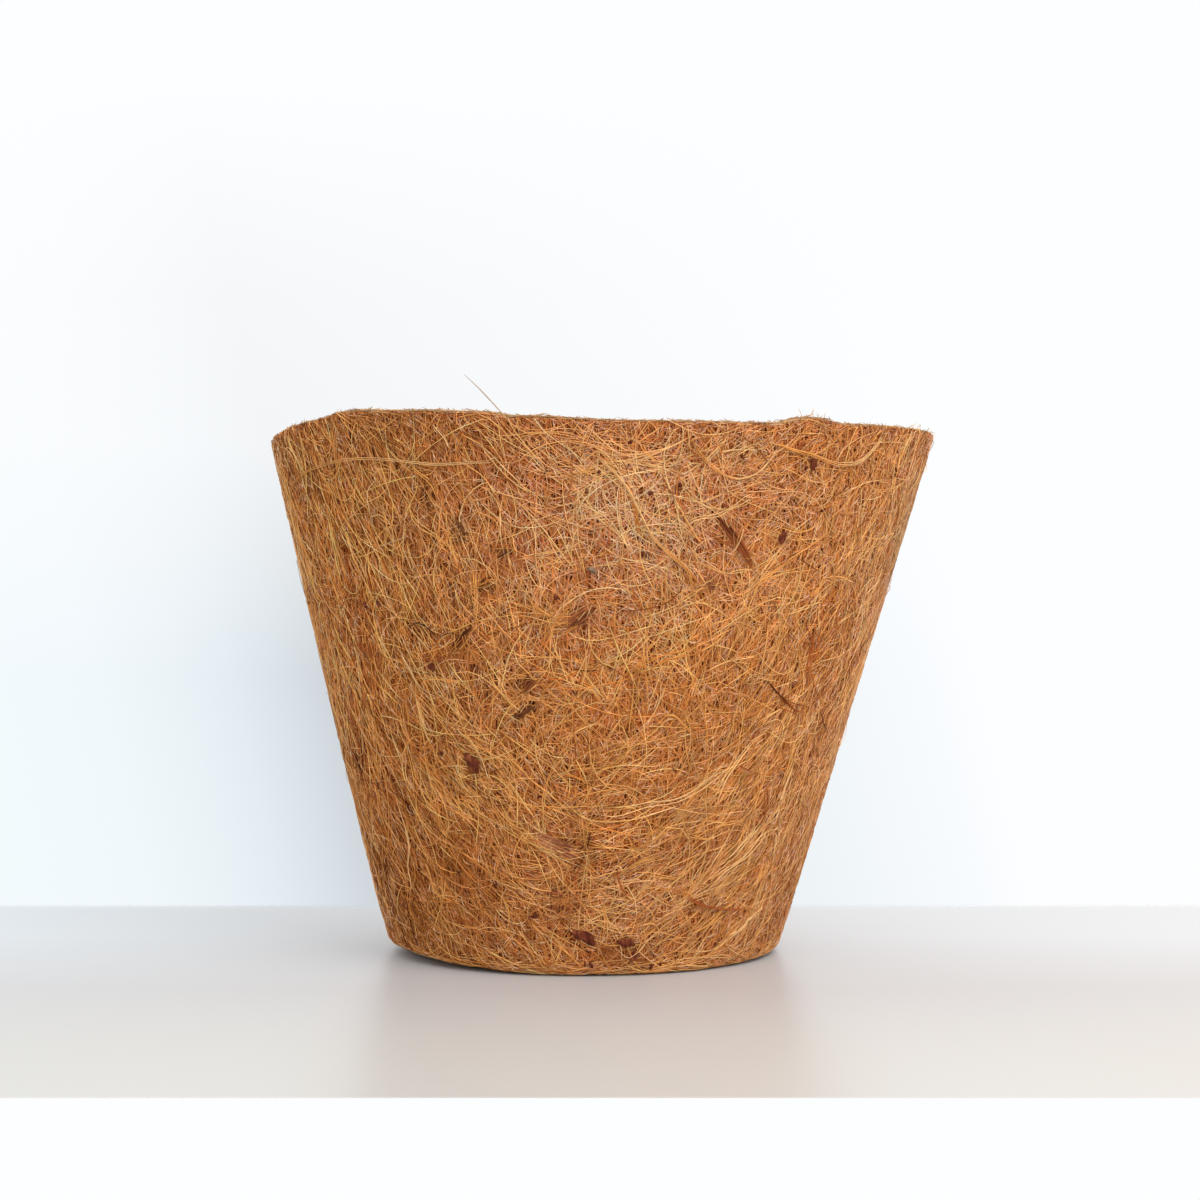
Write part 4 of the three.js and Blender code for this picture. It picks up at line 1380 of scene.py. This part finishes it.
# Sheets and slivers of husk, which are strips side by side with fine fibres across: angle, height,
# length, width, tilt, how far they stand over the felt, how much lighter they start than they end,
# how many fibres cross a square millimetre, and their darkest and lightest colour as they show
STREAKED_HUSKS = {
    "husk_sheet_lower": (-7, 28.3, 13.5, 3.0, -27, 0.08, 0.4, 0.9, (134, 76, 50), (208, 146, 102)),
    "husk_sheet_middle": (-3.7, 76.5, 8.0, 3.2, 36, 0.06, 0.0, 0.8, (84, 38, 22), (170, 102, 62)),
    "leaf_sliver": (-26, 71.5, 7.4, 1.9, 45, 0.12, 0.0, 0.8, (80, 40, 20), (140, 84, 44)),
    "husk_chip_middle": (-13, 62.6, 5.0, 2.2, 52, 0.06, 0.0, 0.8, (66, 32, 18), (140, 80, 44)),
    "husk_chip_small": (-14, 57, 6.0, 1.5, 30, 0.06, 0.0, 0.6, (72, 38, 22), (146, 86, 48)),
    "husk_chip_lower": (-7, 18, 3.2, 1.4, 5, 0.05, 0.0, 0.8, (110, 58, 34), (176, 106, 64)),
    "husk_flake_left": (-20, 83, 4.4, 2.6, 20, 0.0, 0.0, 1.0, (100, 56, 26), (176, 114, 60)),
    "husk_flake_upper": (-17, 89.5, 3.0, 1.9, 30, 0.04, 0.0, 0.8, (84, 44, 24), (156, 98, 54)),
    "husk_sliver_upper": (-24, 94, 4.6, 1.2, -58, 0.06, 0.0, 0.8, (70, 36, 20), (128, 76, 42)),
    "husk_flake_right": (20.5, 84, 3.9, 2.2, -30, 0.05, 0.0, 0.9, (92, 48, 30), (168, 104, 68)),
    "husk_sliver_right": (24.6, 92.3, 16.0, 1.6, -46, 0.16, -0.5, 0.3, (84, 38, 20), (158, 84, 44)),
}
STRIP = 0.34  # how far the strips are apart
STRIP_STOPS = 12
STRIP_FLAT = 0.3  # their thickness by their width
STRIP_WIDTH = (0.9, 2.0)  # their width by how far they're apart
STRIP_DIP, STRIP_DIP_FROM = 0.35, 0.75  # how deep their ends dip, and from where
CROSSING_TONES = {"pale": 0.2, "golden": 0.4, "amber": 0.25, "russet": 0.15}
CROSSING_WIDTH = 0.16
CROSSING_STOPS = 6
CROSSING_WITHIN = 0.55  # how far from the husk's middle they start, by its length and width
CROSSING_TURN = 50.0  # how far they turn from the husk's own direction, in degrees
CROSSING_REACH = (1.0, 3.5)
CROSSING_LIFT, CROSSING_DROP = 0.16, 0.3  # how high their middle lies on it, and how far ends drop


def slot_of(name):
    return next(part["material_slot"] for part in frame["record"]["subparts"] if part["node"] == name)


def husk_piece(name, material):
    """A finer copy of the solid, roughened along its grain."""
    shape = bmesh.new()
    shape.from_mesh(frame["nodes"][name].data)
    bmesh.ops.remove_doubles(shape, verts=shape.verts, dist=1e-6)
    bmesh.ops.subdivide_edges(shape, edges=shape.edges, cuts=2, use_grid_fill=True, smooth=0.6)
    points = np.array([v.co for v in shape.verts]) / MM
    middle = points.mean(0)
    _, _, ways = np.linalg.svd(points - middle, full_matrices=False)
    local = (points - middle) @ ways.T
    sink = np.ptp(local[:, 2]) - HUSK_TOP
    grain = sum(depth * field_noise(local * by, cell, seed) for by, cell, seed, depth in GRAIN)
    outwards = Vector((middle[0], middle[1], 0.0)).normalized()
    shape.normal_update()
    for vertex, push in zip(shape.verts, grain):
        vertex.co += (vertex.normal * float(push) - outwards * float(sink)) * MM
    mesh = bpy.data.meshes.new(name + "_grained")
    shape.to_mesh(mesh)
    shape.free()
    mesh.materials.append(material)
    mesh.shade_smooth()
    belongs(in_scene(name + "_grained", mesh), name)


def streaked_husk(rng, name, angle, height, length, width, tilt, lift, fade, cover, dark, light):
    """Strips of bark side by side, of uneven length and colour, bent with the wall.

    Returns the fibres that lie across them.
    """
    tilt = math.radians(tilt)
    count = int(width / STRIP) + 2
    place = np.linspace(-0.9, 0.9, count)[:, None] + rng.normal(0, 0.05, (count, 1))
    share = np.linspace(-1, 1, STRIP_STOPS)
    reach = length / 2 * np.sqrt(1 - (0.75 * place) ** 2) * rng.uniform(0.75, 1.05, (count, 1))
    along = reach * share + rng.normal(0, 0.07 * length, (count, 1))
    wave = 0.1 * np.sin(rng.uniform(1, 3, (count, 1)) * share + rng.uniform(0, 6, (count, 1)))
    across = place * width / 2 * (1 - 0.3 * share**2) + wave
    angles, heights = moved(angle, height, along, across, tilt)
    lifts = lift + rng.uniform(-0.1, 0.1, (count, 1)) - end_dip(share, STRIP_DIP, STRIP_DIP_FROM)
    centres = pot_over_wall(angles, heights, lifts)
    mix = rng.uniform(0, 1, (count, 1)) + 0.35 * field_noise(centres, 1.2, 31) - fade * share
    mix = np.clip(mix, 0, 1)[..., None]
    colours = linear(*dark) * (1 - mix) + linear(*light) * mix
    fibre_piece(
        name + "_strips", centres, OUTSIDE.normal(angles, run_of_height(heights)),
        STRIP * rng.uniform(*STRIP_WIDTH, count), colours, STRIP_FLAT, slot_of(name), name)
    crossing = []
    for _ in range(round(cover * length * width)):
        middle = rng.uniform(-CROSSING_WITHIN, CROSSING_WITHIN, 2) * (length, width)
        way = math.radians(rng.normal(0, CROSSING_TURN))
        reach = rng.uniform(*CROSSING_REACH)
        stops = []
        for step in (-1, 0, 1):
            along = middle[0] + step * reach * math.cos(way) + rng.normal(0, 0.2)
            across = middle[1] + step * reach * math.sin(way) + rng.normal(0, 0.2)
            at = moved(angle, height, along, across, tilt)
            stops.append((*at, lift + CROSSING_LIFT - CROSSING_DROP * abs(step)))
        crossing.append((rng.choice(list(CROSSING_TONES), p=list(CROSSING_TONES.values())), stops))
    return crossing


def build_husks():
    rng = np.random.default_rng(SEED + 1)
    for name, material in HUSKS.items():
        husk_piece(name, material)
    crossing = []
    for name, shape in STREAKED_HUSKS.items():
        crossing += streaked_husk(rng, name, *shape)
    strands = Strands(rng)
    for tone, stops in crossing:
        strands.lay(tone, stops, 1, 0.0, CROSSING_WIDTH, count=CROSSING_STOPS)
    strands.make("fibres_over_husks")


# The camera, the table and the light

PICTURE_SIDE = 1200.0  # the photograph's pixels
FOCAL_PIXELS = 2500.0
SENSOR = 36.0
NEAREST = 0.01  # metres from the camera
CAMERA_PLACE = (3.7, -575.0, 80.0)

TABLE_REACH = 2500.0
TABLE_DROP = 0.05  # how far it lies under the pot, so that the two don't mix
TABLE_END = 79.0  # where the table is seen to end, behind the pot's axis
TABLE_SOFTNESS = 5.0
TABLE_NEAR_END = -173.0  # and in front of it, with white beyond both
TABLE_NEAR_SOFTNESS = 0.5
# The table's colour, as it shows, at the left and the right, and what it's multiplied by from the
# front backwards, a painted reflection and shade of the pot that makes the table darker and warmer in
# front of it: metres along X or Y, and red, green and blue
TABLE_ACROSS = [(-0.16, linear(209, 218, 225)), (0.16, linear(212, 213, 215))]
TABLE_FRONT_PAINTED_REFLECTION = [(-0.13, (0.85, 0.79, 0.72)), (-0.06, (0.83, 0.78, 0.75)), (0.02, (1.0, 1.0, 1.0))]
TABLE_ROUGHNESS = 0.34
TABLE_SPECULAR = 0.35

# The backdrop is white, and in soft shade low down beside the pot, most on its left: how far across
# it is seen, and the shade's colour there
BACKDROP = (253, 254, 255)
SHADES = [
    (-0.25, (243, 250, 253)), (-0.205, (241, 248, 252)), (-0.173, (235, 242, 247)),
    (-0.153, (228, 236, 242)), (-0.133, (218, 226, 232)), (-0.117, (209, 215, 220)),
    (0.076, (241, 246, 249)), (0.12, (248, 251, 254)), (0.145, (253, 254, 255)),
]
SHADE_LEAN = 0.231  # the shade's edge leans as the pot's left side does
# How far up it is seen, and how much of the shade is there
SHADE_SHARES = [
    (-0.19, 0.0), (-0.185, 1.0), (-0.03, 1.0), (0.02, 0.55), (0.06, 0.25), (0.12, 0.2), (0.2, 0.0),
]


def build_camera():
    data = bpy.data.cameras.new("camera")
    data.sensor_width = SENSOR
    data.lens = SENSOR * FOCAL_PIXELS / PICTURE_SIDE
    data.clip_start = NEAREST
    camera = in_scene("camera", data)
    camera.location = Vector(CAMERA_PLACE) * MM
    camera.rotation_euler = (math.radians(90), 0.0, 0.0)
    bpy.context.scene.camera = camera


def table_material():
    """A pale table top, as far as the camera sees it: past its ends the white background shows."""
    made = Nodes("table_top")
    axes = made.axes()
    colour = made.ramp_over(axes["X"], TABLE_ACROSS)
    # painted reflection and shade of the pot on the table in front of it
    front_painted_reflection = made.ramp_over(axes["Y"], TABLE_FRONT_PAINTED_REFLECTION)
    made.finish(made.mixed("MULTIPLY", 1.0, colour, front_painted_reflection), TABLE_ROUGHNESS, TABLE_SPECULAR)
    past = []
    for end, softness, kind in (
            (TABLE_END, TABLE_SOFTNESS, "SMOOTHSTEP"), (TABLE_NEAR_END, -TABLE_NEAR_SOFTNESS, "LINEAR")):
        past.append(made.between(axes["Y"], (end - softness) * MM, (end + softness) * MM, kind))
    share = made.maths("MULTIPLY", made.maths("ADD", *past), made.seen_by_camera())
    made.send("Material Output", share, made.shader, made.add("BsdfTransparent"))
    return made.material


def build_table():
    corners = [(x, y, -TABLE_DROP) for x, y in ((-1, -1), (1, -1), (1, 1), (-1, 1))]
    corners = np.array(corners) * (TABLE_REACH, TABLE_REACH, 1.0)
    table = new_mesh("table_top", corners, [(0, 1, 2, 3)], 4, table_material(), smooth=False)


def build_world():
    """Even white light, and a white backdrop with the pot's soft shade on it."""
    made = Nodes("studio", bpy.data.worlds.new("studio"), "Background")
    bpy.context.scene.world = made.material
    made.join((1.0, 1.0, 1.0, 1.0), made.shader.inputs["Color"])
    axes = made.axes("Generated")
    leaning = made.maths("MULTIPLY_ADD", axes["Z"], SHADE_LEAN, axes["X"])
    shade = made.ramp_over(leaning, [(at, linear(*colour)) for at, colour in SHADES])
    share = made.ramp_over(axes["Z"], [(at, (part, part, part)) for at, part in SHADE_SHARES])
    colour = made.mixed("MIX", share, (*linear(*BACKDROP), 1.0), shade)
    made.send(
        "World Output", made.seen_by_camera(), made.shader, made.add("Background", Color=colour))


# Lamps: name, place, size, watts and colour
LAMPS = [
    ("window", (420.0, -470.0, 500.0), 680.0, 4.0, (1.0, 0.98, 0.95)),
    ("fill", (-60.0, -740.0, 380.0), 700.0, 1.0, (1.0, 0.98, 0.96)),
]
LAMP_TARGET = (0.0, 0.0, 60.0)


def build_light():
    for name, place, size, watts, colour in LAMPS:
        data = bpy.data.lights.new(name, "AREA")
        data.size = size * MM
        data.energy = watts
        data.color = colour
        lamp = in_scene(name, data)
        lamp.location = Vector(place) * MM
        aim = Vector(LAMP_TARGET) - Vector(place)
        lamp.rotation_euler = aim.to_track_quat("-Z", "Y").to_euler()


build_camera()
build_pot()
build_husks()
build_table()
build_world()
build_light()
bpy.context.scene.view_settings.view_transform = "Standard"
